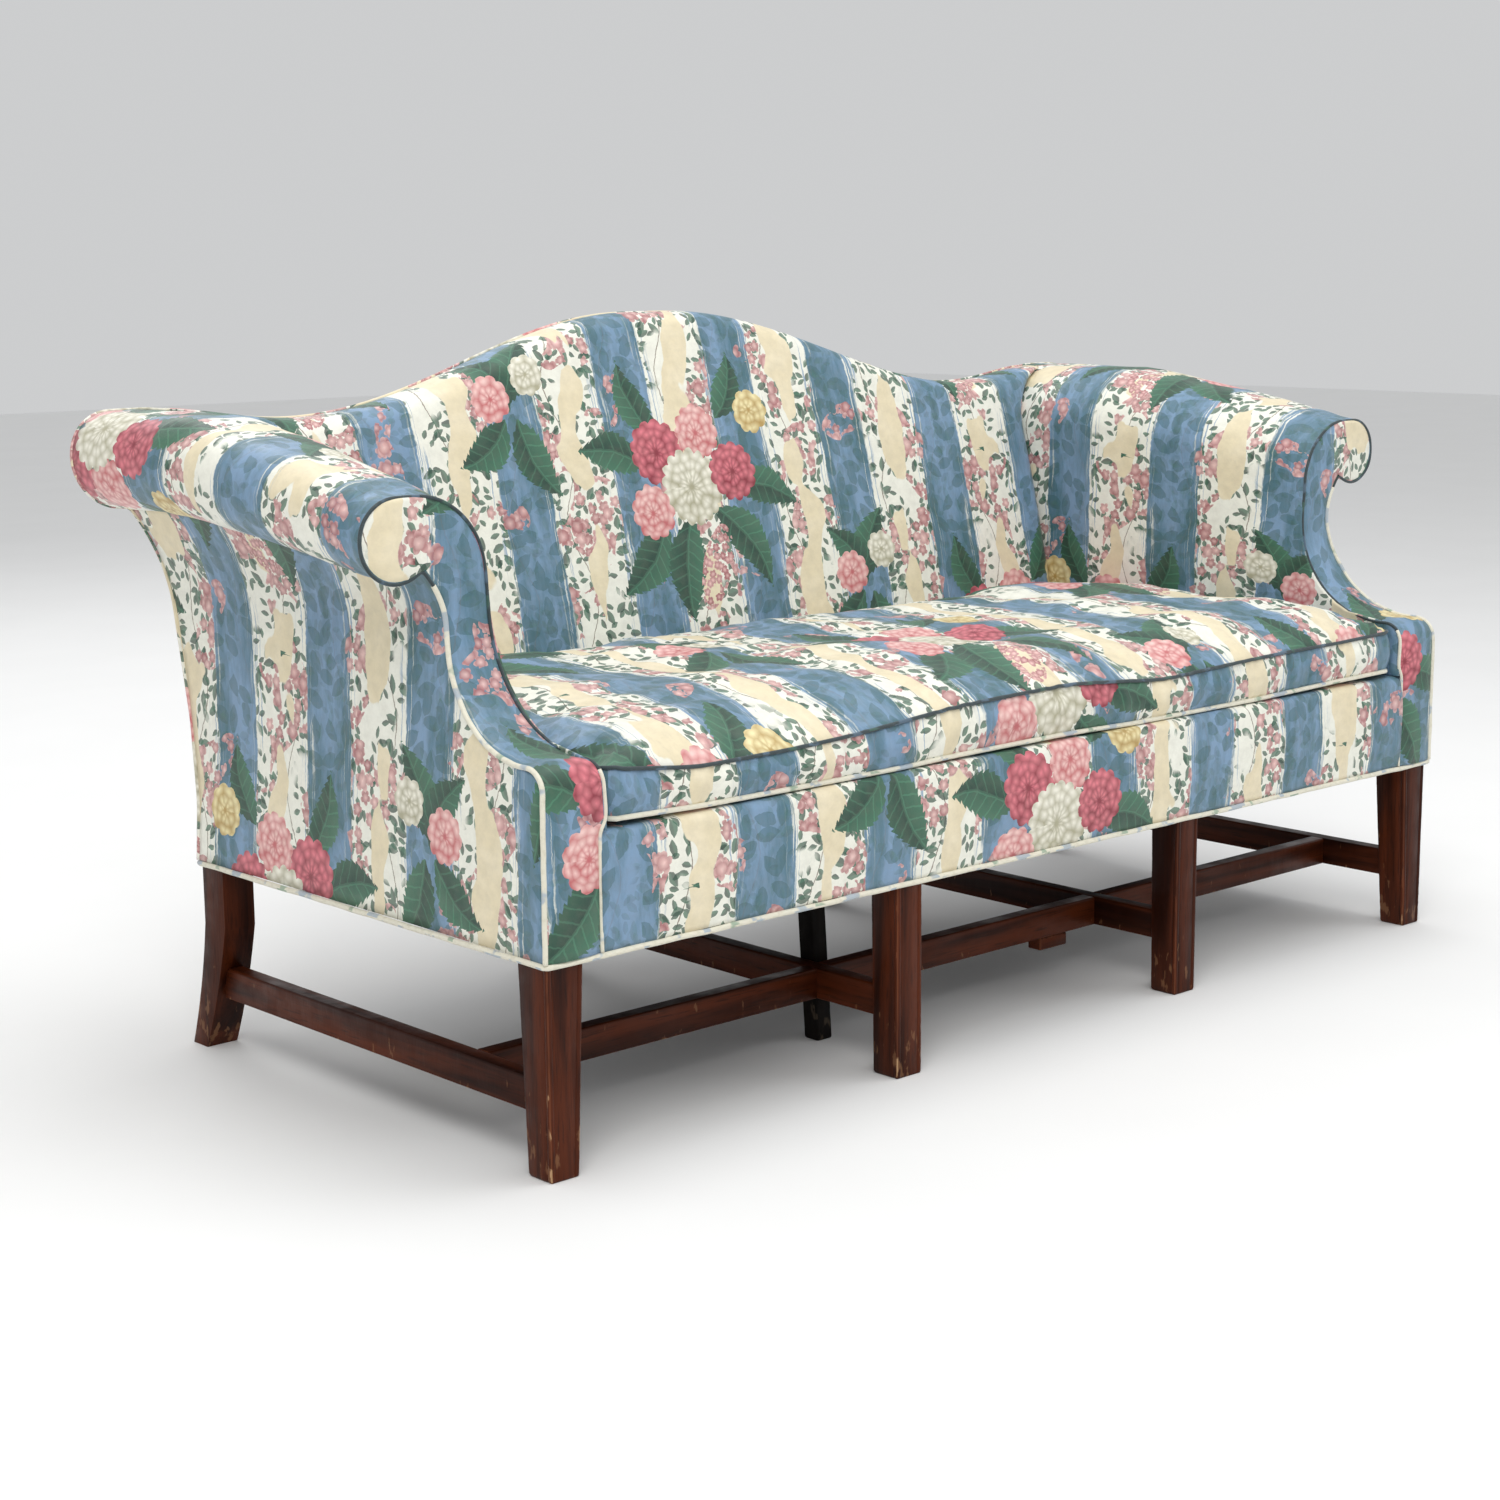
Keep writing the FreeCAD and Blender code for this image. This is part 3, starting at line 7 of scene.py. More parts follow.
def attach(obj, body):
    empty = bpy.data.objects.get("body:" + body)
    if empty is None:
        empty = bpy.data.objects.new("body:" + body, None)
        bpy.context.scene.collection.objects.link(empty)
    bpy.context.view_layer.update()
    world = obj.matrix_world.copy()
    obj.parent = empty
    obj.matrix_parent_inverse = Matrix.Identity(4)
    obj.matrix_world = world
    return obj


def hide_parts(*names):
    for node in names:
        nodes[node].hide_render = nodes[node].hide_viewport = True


# Camelback sofa. Shapes are worked out in the drawing's millimetres, with y from the faces of the
# front legs and "in" measured inwards from the outer face of an end leg, and made metres in placed().

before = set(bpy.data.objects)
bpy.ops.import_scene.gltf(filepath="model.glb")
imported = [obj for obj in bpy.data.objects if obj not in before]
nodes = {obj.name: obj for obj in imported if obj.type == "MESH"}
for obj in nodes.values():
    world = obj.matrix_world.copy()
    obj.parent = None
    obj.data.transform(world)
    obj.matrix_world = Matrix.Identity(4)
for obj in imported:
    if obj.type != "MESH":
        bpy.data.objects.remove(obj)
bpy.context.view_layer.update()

sofa = {
    "half": 847.0,  # middle of the sofa to the outer face of an end leg
    "middleY": 410.61,  # drawing's y of the scene's origin
    "coverFoot": 254.3,
    "deck": 392.0,
    "rearFoot": 720.0,  # foot of the outside back
    "proud": 4.0,  # covers stand this far before the leg faces
    "innerLeg": 274.83,  # middles of the inner and the end rear legs
    "endLeg": 824.5,
}
half = sofa["half"]


def placed(x, y, z):
    x, y, z = np.broadcast_arrays(x, y, z)
    return np.stack([x, y - sofa["middleY"], z], -1) / 1000


def mixed(a, b, share):
    return a * (1 - share) + b * share


def smooth(t):
    t = np.clip(t, 0, 1)
    return t * t * (3 - 2 * t)


# Five crossing waves about one size long, in directions drawn from a seed, added up to about one
def ripple(a, b, size, seed):
    rng = np.random.default_rng(seed)
    total = 0
    for way, phase, pace in rng.uniform((0, 0, 0.7), (np.pi, 2 * np.pi, 1.5), (5, 3)):
        total = total + np.sin(2 * np.pi * pace / size * (a * np.cos(way) + b * np.sin(way)) + phase)
    return total / 3


# Length along rows (axis 0) or columns (axis 1) of a grid of points, from its first one
def runLength(points, axis):
    steps = np.linalg.norm(np.diff(points, axis=axis), axis=-1)
    start = np.zeros_like(np.take(steps, [0], axis=axis))
    return np.concatenate([start, np.cumsum(steps, axis=axis)], axis=axis)


# Meshes

# Triangles from each step of a ring to one pole
def fan(ring, pole):
    return np.stack([ring[:-1], ring[1:], np.full(len(ring) - 1, pole)], 1)


# A grid of points becomes quads. cloth holds the cloth's own metres at each point, one column more
# where the grid wraps round; keep leaves quads out; ends closes a wrapped grid's first and last rows
def gridPart(points, cloth, keep=None, wrap=False, ends=False):
    rows, columns = points.shape[:2]
    index = np.arange(rows * columns).reshape(rows, columns)
    if wrap:
        index = np.concatenate([index, index[:, :1]], 1)
    clothIndex = np.arange(cloth.shape[0] * cloth.shape[1]).reshape(cloth.shape[:2])

    def corners(grid):
        return np.stack([grid[:-1, :-1], grid[:-1, 1:], grid[1:, 1:], grid[1:, :-1]], -1)

    faces, clothFaces = corners(index).reshape(-1, 4), corners(clothIndex).reshape(-1, 4)
    if keep is not None:
        faces, clothFaces = faces[keep.ravel()], clothFaces[keep.ravel()]
    places, clothPlaces = points.reshape(-1, 3), cloth.reshape(-1, 2)
    faces, clothFaces = [faces], [clothFaces]
    if ends:
        for row, order in ((0, -1), (rows - 1, 1)):
            faces.append(fan(index[row], len(places))[:, ::order])
            clothFaces.append(fan(clothIndex[row], len(clothPlaces))[:, ::order])
            places = np.concatenate([places, points[row].mean(0)[None]])
            clothPlaces = np.concatenate([clothPlaces, cloth[row].mean(0)[None]])
    return places, clothPlaces, faces, clothFaces


# One mesh from one or more grids. Unused points go, coinciding ones are merged, and the faces are
# turned outwards: by the way given, or by the sign of the volume of a closed shape
def buildPiece(name, parts, outward=None, sharp=None):
    places, cloth, faces, clothLoops = [], [], [], []
    for part in parts:
        shift, clothShift = sum(map(len, places)), sum(map(len, cloth))
        places.append(part[0])
        cloth.append(part[1])
        for block, clothBlock in zip(part[2], part[3]):
            faces += (block + shift).tolist()
            clothLoops.append((clothBlock + clothShift).ravel())
    places, cloth = np.concatenate(places), np.concatenate(cloth)
    mesh = bpy.data.meshes.new(name)
    mesh.from_pydata(places.tolist(), [], faces)
    layer = mesh.uv_layers.new(name="cloth")
    layer.data.foreach_set("uv", cloth[np.concatenate(clothLoops)].astype(np.float32).ravel())
    shell = bmesh.new()
    shell.from_mesh(mesh)
    bmesh.ops.delete(shell, geom=[v for v in shell.verts if not v.link_faces], context="VERTS")
    bmesh.ops.remove_doubles(shell, verts=shell.verts, dist=1e-6)
    shell.to_mesh(mesh)
    shell.free()
    count = len(mesh.polygons)
    normals, centres, areas = np.zeros(count * 3), np.zeros(count * 3), np.zeros(count)
    mesh.polygons.foreach_get("normal", normals)
    mesh.polygons.foreach_get("center", centres)
    mesh.polygons.foreach_get("area", areas)
    weighted = normals.reshape(-1, 3) * areas[:, None]
    if outward is None:
        side = (weighted * centres.reshape(-1, 3)).sum()
    else:
        side = weighted.sum(0) @ np.array(outward, float)
    if side < 0:
        mesh.flip_normals()
    mesh.shade_smooth()
    if sharp:
        mesh.set_sharp_from_angle(angle=np.radians(sharp))
    piece = bpy.data.objects.new(name, mesh)
    bpy.context.scene.collection.objects.link(piece)
    return piece


def thicken(piece, millimetres):
    wall = piece.modifiers.new("wall", "SOLIDIFY")
    wall.thickness, wall.offset, wall.use_even_offset = millimetres / 1000, -1, True
    return piece


def finishPiece(piece, material, slot, *stoodFor, body="frame"):
    if not piece.data.materials:
        piece.data.materials.append(material)
    if stoodFor:
        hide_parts(*stoodFor)
    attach(piece, body)
    return piece


# A round cord along a path in metres: every point of the path gets a ring across it, with upward
# as the side that stays up
def cordPart(path, radius, upward, sides=12, closed=False):
    ahead = np.roll(path, -1, 0) - np.roll(path, 1, 0)
    if not closed:
        ahead[0], ahead[-1] = path[1] - path[0], path[-1] - path[-2]
    ahead /= np.linalg.norm(ahead, axis=1)[:, None]
    side = np.cross(ahead, np.broadcast_to(upward, path.shape))
    side /= np.linalg.norm(side, axis=1)[:, None]
    up = np.cross(side, ahead)
    turn = np.linspace(0, 2 * np.pi, sides + 1)
    cosine, sine = (wave(turn[:-1])[None, :, None] for wave in (np.cos, np.sin))
    across = cosine * side[:, None] + sine * up[:, None]
    points = path[:, None] + across * np.broadcast_to(radius, len(path))[:, None, None]
    along = runLength(path[:, None], 0)[:, 0]
    if closed:
        points = np.concatenate([points, points[:1]])
        along = np.append(along, along[-1] + np.linalg.norm(path[0] - path[-1]))
    cloth = np.stack(np.broadcast_arrays(turn[None] * np.mean(radius), along[:, None]), -1)
    return gridPart(points, cloth, wrap=True, ends=not closed)


# Evenly spaced points on a line through given points
def evenly(line, step):
    line = np.asarray(line, float)
    run = runLength(line[:, None], 0)[:, 0]
    where = np.linspace(0, run[-1], max(2, int(round(run[-1] / step)) + 1))
    return np.stack([np.interp(where, run, line[:, k]) for k in range(line.shape[1])], 1)


# Points rounded off by averaging each with its neighbours, the ends kept
def rounded(line, times):
    line = line.copy()
    for _ in range(times):
        line[1:-1] = (line[:-2] + 2 * line[1:-1] + line[2:]) / 4
    return line


# Materials: a recipe adds nodes; an input is a number, a tuple or another node's socket

class Recipe:
    def __init__(self, name):
        self.material = bpy.data.materials.new(name)
        self.material.use_nodes = True
        self.tree = self.material.node_tree
        self.shader = self.tree.nodes["Principled BSDF"]

    def put(self, socket, value):
        if isinstance(value, bpy.types.NodeSocket):
            self.tree.links.new(value, socket)
        else:
            socket.default_value = value

    def make(self, kind, inputs, output=0, **settings):
        node = self.tree.nodes.new("ShaderNode" + kind)
        for key, value in settings.items():
            setattr(node, key, value)
        for key, value in inputs.items():
            self.put(node.inputs[key], value)
        return node.outputs[output]

    def math(self, operation, *values, clamp=False):
        return self.make("Math", dict(enumerate(values)), operation=operation, use_clamp=clamp)

    def times(self, *values, clamp=False):
        return self.math("MULTIPLY", *values, clamp=clamp)

    def timesPlus(self, *values, clamp=False):
        return self.math("MULTIPLY_ADD", *values, clamp=clamp)

    def under(self, value, limit):
        return self.math("LESS_THAN", value, limit)

    def over(self, value, limit):
        return self.math("GREATER_THAN", value, limit)

    def vector(self, operation, *values, output=0):
        return self.make("VectorMath", dict(enumerate(values)), output, operation=operation)

    def mix(self, factor, a, b, blend="MIX"):
        node = self.tree.nodes.new("ShaderNodeMix")
        node.data_type, node.blend_type = "RGBA", blend
        for key, value in ((0, factor), (6, a), (7, b)):
            self.put(node.inputs[key], value)
        return node.outputs[2]

    def noise(self, place, scale, detail=2, output="Fac", **inputs):
        return self.make("TexNoise", {"Vector": place, "Scale": scale, "Detail": detail, **inputs}, output)

    def between(self, value, low, high, toLow=0.0, toHigh=1.0):
        inputs = {"Value": value, "From Min": low, "From Max": high, "To Min": toLow, "To Max": toHigh}
        return self.make("MapRange", inputs, interpolation_type="SMOOTHSTEP")

    def objectPlace(self, *scale):
        place = self.make("TexCoord", {}, "Object")
        return self.make("Mapping", {"Vector": place, "Scale": scale or (1, 1, 1)})

    def bump(self, height, distance, strength=1.0, below=None):
        inputs = {"Height": height, "Distance": distance, "Strength": strength}
        if below is not None:
            inputs["Normal"] = below
        return self.make("Bump", inputs)

    def done(self, color, roughness, normal=None, **constants):
        self.put(self.shader.inputs["Base Color"], color)
        self.put(self.shader.inputs["Roughness"], roughness)
        if normal is not None:
            self.put(self.shader.inputs["Normal"], normal)
        for key, value in constants.items():
            self.shader.inputs[key].default_value = value
        return self.material


def rgb(red, green, blue):  # display values of 0 to 255, made linear
    value = np.array([red, green, blue]) / 255
    linear = np.where(value < 0.04045, value / 12.92, ((value + 0.055) / 1.055) ** 2.4)
    return (*linear.tolist(), 1.0)


chintz = {
    "stripePitch": 210.0,
    "stripeWide": 92.0,
    "repeatWide": 630.0,
    "repeatTall": 600.0,
    "cream": rgb(230, 217, 184),
    "paper": rgb(240, 240, 228),
    "blue": rgb(122, 154, 186),
    "teal": rgb(76, 116, 134),
    "leafDark": rgb(18, 58, 46),
    "leafLight": rgb(78, 138, 108),
    "shadowLeaf": rgb(44, 92, 96),
    "stem": rgb(112, 92, 76),
    "rose": (rgb(136, 34, 54), rgb(226, 124, 136)),
    "blush": (rgb(196, 100, 104), rgb(246, 206, 200)),
    "ivory": (rgb(172, 168, 140), rgb(246, 243, 228)),
    "primrose": (rgb(182, 150, 84), rgb(242, 230, 178)),
}

# One repeat's own motifs, in millimetres from its middle
flowers = [  # centre, radius, petals in a ring, rings, colours
    ((-64, 66), 50, 13, 4, "rose"),
    ((18, 92), 42, 12, 4, "blush"),
    ((-8, 12), 58, 17, 4, "ivory"),
    ((76, 30), 45, 13, 4, "rose"),
    ((-90, -20), 40, 11, 4, "blush"),
    ((132, 118), 34, 9, 3, "primrose"),
]
leaves = [  # foot, angle, length, width, bend
    ((-60, 90), 112, 125, 30, 0.5),
    ((-95, 45), 166, 120, 32, -0.4),
    ((-70, -30), 226, 150, 36, 0.5),
    ((-20, -30), 262, 165, 36, -0.4),
    ((30, -20), 304, 160, 36, 0.5),
    ((80, 10), 342, 125, 31, 0.4),
    ((60, 110), 66, 115, 29, -0.5),
]
sprigFlowers = [((-30, 20), 34, 10, 3, "blush"), ((40, 52), 30, 9, 3, "ivory")]
sprigLeaves = [
    ((0, 10), 62, 125, 32, 0.4),
    ((0, 0), 128, 120, 30, -0.5),
    ((-10, -10), 214, 115, 30, 0.5),
    ((10, -10), 296, 130, 33, -0.4),
]


# A many-petalled flower: uneven cells laid in rings round the middle are its petals, light inside
# and dark between, and the outer ring's petals scallop its edge
def flowerMotif(r, px, py, centre, radius, petals, rings):
    qx = r.timesPlus(px, 1 / radius, -centre[0] / radius)
    qy = r.timesPlus(py, 1 / radius, -centre[1] / radius)
    away = r.vector("LENGTH", r.make("CombineXYZ", {0: qx, 1: qy}), output=1)
    angle = r.times(r.math("ARCTAN2", qy, qx), petals / (2 * np.pi))
    edge = r.math("PINGPONG", angle, 0.5)
    scallop = r.timesPlus(r.times(edge, edge), 0.5, away)
    cells = r.make("CombineXYZ", {0: angle, 1: r.times(away, float(rings))})
    net = {"Vector": cells, "Scale": 1.0, "Randomness": 0.7}
    petal = r.make("TexVoronoi", net, "Distance", voronoi_dimensions="2D")
    lit = r.timesPlus(qy, 0.16, r.timesPlus(petal, -1.25, 1.0))
    eye = r.between(away, 0.04, 0.2, 0.0, 1.0)
    return r.under(scallop, 1.0), r.times(lit, eye, clamp=True)


# A leaf: half its width follows a sine of the share of its length, with a toothed edge, a midrib
# and slanting side veins; one half is darker
def leafMotif(r, px, py, foot, degrees, length, width, bend):
    c, s = np.cos(np.radians(degrees)), np.sin(np.radians(degrees))
    fx, fy = foot
    a = r.timesPlus(px, c / length, -(fx * c + fy * s) / length)
    a = r.timesPlus(py, s / length, a)
    b = r.timesPlus(px, -s / width, -(fy * c - fx * s) / width)
    b = r.timesPlus(py, c / width, b)
    bow = r.times(r.math("SUBTRACT", a, 1.0), a)
    b = r.timesPlus(bow, bend * 4, b)
    out = r.math("ABSOLUTE", b)
    shape = r.math("SINE", r.times(r.math("POWER", a, 0.8), np.pi))
    tooth = r.times(r.math("FRACT", r.times(a, length / 11)), 0.14)
    mask = r.under(out, r.math("SUBTRACT", shape, tooth))
    slant = r.timesPlus(out, -1.1, r.times(a, length / 17))
    vein = r.under(r.math("MINIMUM", r.math("FRACT", slant), r.times(out, 2.2)), 0.15)
    shade = r.timesPlus(r.over(b, 0.0), 0.3, r.times(out, 0.3))
    return mask, r.timesPlus(vein, 0.3, shade, clamp=True)


# Small motifs, one to a cell of a loose net: blossoms with notched petals, or pointed leaves
def scattered(r, place, cell, radius, petals, share, seed):
    spot = r.vector("ADD", place, (seed * 37.7, seed * 91.3, 0))
    spot = r.vector("DIVIDE", spot, (cell, cell, cell))
    net = {"Vector": spot, "Scale": 1.0, "Randomness": 0.85}
    node = r.make("TexVoronoi", net, "Position", voronoi_dimensions="2D").node
    tone = r.make("SeparateColor", {0: node.outputs["Color"]}).node
    local = r.vector("SUBTRACT", spot, node.outputs["Position"])
    turn = r.times(tone.outputs[1], 6.28)
    turned = r.make("VectorRotate", {"Vector": local, "Angle": turn}, rotation_type="Z_AXIS")
    parts = r.make("SeparateXYZ", {0: turned}).node
    chosen = r.under(tone.outputs[0], share)
    if petals:
        away = r.times(r.vector("LENGTH", turned, output=1), cell / radius)
        angle = r.math("ARCTAN2", parts.outputs[1], parts.outputs[0])
        angle = r.times(angle, petals / (2 * np.pi))
        notch = r.math("PINGPONG", angle, 0.5)
        rim = r.timesPlus(r.times(notch, notch), 1.6, away)
        shade = r.timesPlus(r.math("PINGPONG", r.times(away, 1.6), 1.0), -0.6, 0.9)
        shade = r.timesPlus(tone.outputs[2], 0.3, r.math("SUBTRACT", shade, 0.15), clamp=True)
        return r.times(r.under(rim, 1.0), chosen), shade
    a = r.times(parts.outputs[0], cell / radius)
    b = r.times(r.math("ABSOLUTE", parts.outputs[1]), cell / radius)
    rim = r.timesPlus(r.times(a, a), -0.46, 0.46)
    side = r.over(parts.outputs[1], 0.0)
    shade = r.timesPlus(side, 0.3, r.times(tone.outputs[2], 0.3))
    return r.times(r.under(b, rim), chosen), shade


# Place in one repeat of a half-drop pattern: every other column is set half a repeat down
def repeatPlace(r, px, py, shiftX, shiftY):
    wide, tall = chintz["repeatWide"], chintz["repeatTall"]
    across = r.timesPlus(px, 1 / wide, shiftX)
    column = r.math("FLOOR", across)
    drop = r.times(r.math("PINGPONG", column, 1.0), 0.5)
    up = r.math("ADD", r.timesPlus(py, 1 / tall, shiftY), drop)
    cx = r.timesPlus(r.math("FRACT", across), wide, -wide / 2)
    cy = r.timesPlus(r.math("FRACT", up), tall, -tall / 2)
    return cx, cy


def chintzMaterial(name):
    r = Recipe(name)
    tone = chintz
    cloth = r.make("UVMap", {}, uv_map="cloth")
    flat = r.vector("MULTIPLY", cloth, (1000, 1000, 0))
    half, slow, quick = (0.5, 0.5, 0.5), (10, 10, 0), (3.2, 3.2, 0)
    wander = r.vector("MULTIPLY", r.vector("SUBTRACT", r.noise(flat, 0.018, 2, "Color"), half), slow)
    jitter = r.vector("MULTIPLY", r.vector("SUBTRACT", r.noise(flat, 0.16, 2, "Color"), half), quick)
    place = r.vector("ADD", r.vector("ADD", flat, wander), jitter)
    split = r.make("SeparateXYZ", {0: place}).node
    px, py = split.outputs[0], split.outputs[1]

    # Brushed stripes: the distance to the middle of a stripe, with long streaks at its edges
    pitch, wide = tone["stripePitch"], tone["stripeWide"]
    streaks = r.noise(r.vector("MULTIPLY", place, (1, 0.06, 0)), 0.09, 4)
    offset = r.math("PINGPONG", r.math("ADD", px, pitch * 0.5), pitch / 2)
    edge = r.timesPlus(r.math("SUBTRACT", streaks, 0.5), 34.0, offset)
    band = r.between(edge, wide / 2 - 2, wide / 2 + 2, 1.0, 0.0)
    fringe = r.between(r.math("ABSOLUTE", r.math("SUBTRACT", edge, wide / 2 + 2)), 5.0, 18.0, 1.0, 0.0)
    wash = r.noise(r.vector("MULTIPLY", place, (1, 0.22, 0)), 0.02, 6, Roughness=0.65)
    blue = r.mix(r.between(wash, 0.36, 0.62), tone["teal"], tone["blue"])
    thread = r.between(r.noise(r.vector("MULTIPLY", place, (1, 0.025, 0)), 0.3, 3), 0.54, 0.62)

    # Plain rounded patches of cream down the middle of the pale stripes, paper white about them
    middle = r.math("SUBTRACT", pitch / 2, offset)
    cloud = r.noise(r.vector("MULTIPLY", place, (1, 0.5, 0)), 0.017, 1.5)
    patch = r.timesPlus(middle, -0.0068, cloud)
    plain = r.between(patch, 0.405, 0.42)
    warm = r.mix(r.between(r.noise(place, 0.02, 4), 0.4, 0.7), tone["cream"], rgb(236, 224, 194))
    ground = r.mix(plain, tone["paper"], warm)
    ground = r.mix(r.times(r.times(thread, fringe), 0.85), ground, tone["blue"])
    color = r.mix(band, ground, blue)
    brushed = r.times(r.times(thread, r.times(band, fringe)), 0.9)
    color = r.mix(brushed, color, tone["paper"])
    faint, shade = scattered(r, place, 30.0, 20.0, 0, 0.75, 7)
    color = r.mix(r.times(r.times(faint, band), 0.5), color, tone["shadowLeaf"])

    # Sprays on the white: wavy stems with small leaves, blossoms gathered in clusters along them
    sway = r.times(r.math("SINE", r.times(py, 0.031)), 14.0)
    stemX = r.math("PINGPONG", r.math("ADD", px, r.math("ADD", sway, 24.0)), pitch / 4)
    openCloth = r.math("SUBTRACT", 1.0, plain)
    grows = r.times(openCloth, r.between(band, 0.2, 0.8, 1.0, 0.25))
    gather = r.noise(r.vector("MULTIPLY", place, (1, 0.8, 0)), 0.012, 1)
    stem = r.times(r.under(stemX, 0.8), grows)
    color = r.mix(r.times(stem, 0.8), color, tone["stem"])
    leafy = r.times(grows, r.between(gather, 0.34, 0.4))
    for seed, cell, radius, share in ((1, 15.0, 8.0, 0.66), (2, 22.0, 12.0, 0.5)):
        mask, shade = scattered(r, place, cell, radius, 0, share, seed)
        tint = r.mix(shade, tone["leafDark"], tone["leafLight"])
        color = r.mix(r.times(r.times(mask, leafy), 0.85), color, tint)
    flowery = r.times(r.over(gather, r.timesPlus(band, 0.09, 0.53)), openCloth)
    for seed, cell, radius, share in ((3, 19.0, 10.0, 0.7), (4, 30.0, 14.0, 0.5)):
        mask, shade = scattered(r, place, cell, radius, 5, share, seed)
        tint = r.mix(shade, tone["rose"][0], tone["blush"][1])
        color = r.mix(r.times(r.times(mask, flowery), 0.9), color, tint)

    # Bouquets, and smaller sprigs between them: leaves, then a drooping cluster, then flowers
    groups = (0.0, 0.62, sprigLeaves, sprigFlowers), (0.5, 0.35, leaves, flowers)
    for shiftX, shiftY, greens, blooms in groups:
        cx, cy = repeatPlace(r, px, py, shiftX, shiftY)
        for foot, degrees, length, width, bend in greens:
            mask, shade = leafMotif(r, cx, cy, foot, degrees, length, width, bend)
            color = r.mix(mask, color, r.mix(shade, tone["leafDark"], tone["leafLight"]))
        if greens is leaves:
            droopX = r.timesPlus(cx, 1 / 30, r.timesPlus(cy, -1 / 75, -1.9))
            droop = r.make("CombineXYZ", {0: droopX, 1: r.timesPlus(cy, 1 / 62, 1.75)})
            inside = r.under(r.vector("LENGTH", droop, output=1), 1.0)
            mask, shade = scattered(r, place, 12.5, 7.4, 5, 0.97, 5)
            tint = r.mix(shade, tone["rose"][0], tone["blush"][1])
            color = r.mix(r.times(mask, inside), color, tint)
        for centre, radius, petals, rings, tones in blooms:
            mask, shade = flowerMotif(r, cx, cy, centre, radius, petals, rings)
            color = r.mix(mask, color, r.mix(shade, *tone[tones]))

    # Plain weave, handled creases, and the printing's own unevenness
    uneven = r.between(r.noise(flat, 0.06, 5, Roughness=0.7), 0.3, 0.75, 0.0, 0.16)
    color = r.mix(uneven, color, rgb(120, 116, 100))
    warp = r.make("TexWave", {"Vector": cloth, "Scale": 420.0}, 1, bands_direction="X")
    weft = r.make("TexWave", {"Vector": cloth, "Scale": 420.0}, 1, bands_direction="Y")
    fine = r.bump(r.times(warp, weft), 0.0002, 0.25)
    crease = r.bump(r.noise(flat, 0.02, 4), 0.006, 0.35, fine)
    gloss = r.between(r.noise(flat, 0.05, 3), 0.3, 0.7, 0.42, 0.56)
    return r.done(color, gloss, crease, **{"Sheen Weight": 0.08, "Coat Weight": 0.05, "Coat Roughness": 0.35})


# Cloth cord: pale, with scraps of the print where the strip was cut across it
def weltMaterial(name, base, tint, scraps):
    r = Recipe(name)
    cloth = r.vector("MULTIPLY", r.make("UVMap", {}, uv_map="cloth"), (1000, 1000, 0))
    scrap = r.noise(r.vector("MULTIPLY", cloth, (0.5, 1, 0)), 0.02, 3)
    color = r.mix(r.between(scrap, 0.56, 0.6, 0.0, scraps), base, chintz["blue"])
    color = r.mix(r.between(scrap, 0.36, 0.39, scraps, 0.0), color, chintz["leafLight"])
    tired = r.noise(cloth, 0.11, 4)
    color = r.mix(r.between(tired, 0.45, 0.75, 0.0, 0.35), color, tint)
    twill = r.make("TexWave", {"Vector": cloth, "Scale": 0.28}, 1, bands_direction="DIAGONAL")
    return r.done(color, 0.62, r.bump(twill, 0.0004, 0.5), **{"Sheen Weight": 0.15})


# Stained wood with its grain along one axis: slow tone, fine pores drawn out along the grain,
# rubbed patches, and scuffs near the floor
def woodMaterial(name, grain, dark, light, worn, rubbed=0.25, roughness=0.4):
    r = Recipe(name)
    scale = tuple(0.06 if axis == grain else 1.0 for axis in "xyz")
    along = r.objectPlace(*scale)
    plain = r.objectPlace()
    rings = r.noise(along, 38.0, 4, **{"Distortion": 0.6})
    pores = r.noise(along, 420.0, 3)
    color = r.mix(r.between(rings, 0.3, 0.7), dark, light)
    color = r.mix(r.between(pores, 0.52, 0.72, 0.0, 0.55), color, (0.008, 0.003, 0.002, 1))
    height = r.make("SeparateXYZ", {0: plain}, 2)
    low = r.between(height, 0.02, 0.13, 0.16, 0.0)
    chips = r.noise(r.objectPlace(1, 1, 0.35), 95.0, 5)
    bare = r.between(r.math("ADD", chips, low), 0.72, 0.78, 0.0, 1.0)
    color = r.mix(r.times(bare, rubbed * 2), color, worn)
    haze = r.between(r.noise(plain, 14.0, 4), 0.5, 0.8, 0.0, rubbed)
    color = r.mix(haze, color, light)
    gloss = r.between(r.noise(plain, 30.0, 3), 0.3, 0.7, roughness - 0.08, roughness + 0.12)
    normal = r.bump(chips, 0.0012, 0.35, r.bump(pores, 0.0003, 0.4))
    return r.done(color, gloss, normal, **{"Specular IOR Level": 0.14})


# Woven cloth seen coarse or fine: two crossing waves shade and raise the threads
def wovenMaterial(name, light, dark, threads, roughness=0.85, uneven=0.3, ways="XY"):
    r = Recipe(name)
    place = r.objectPlace()
    waves = {"Vector": place, "Scale": threads}
    warp, weft = (r.make("TexWave", waves, 1, bands_direction=way) for way in ways)
    net = r.times(warp, weft)
    color = r.mix(r.timesPlus(net, 0.7, 0.1), dark, light)
    color = r.mix(r.between(r.noise(place, 60.0, 4), 0.4, 0.7, 0.0, uneven), color, dark)
    return r.done(color, roughness, r.bump(net, 0.0008, 0.5), **{"Sheen Weight": 0.1})


def steelMaterial(name):
    r = Recipe(name)
    place = r.objectPlace()
    stain = r.between(r.noise(place, 40.0, 5), 0.5, 0.7)
    color = r.mix(stain, rgb(150, 150, 148), rgb(104, 84, 66))
    gloss = r.between(stain, 0.0, 1.0, 0.38, 0.6)
    return r.done(color, gloss, r.bump(r.noise(place, 900.0, 2), 0.0001), Metallic=0.9)


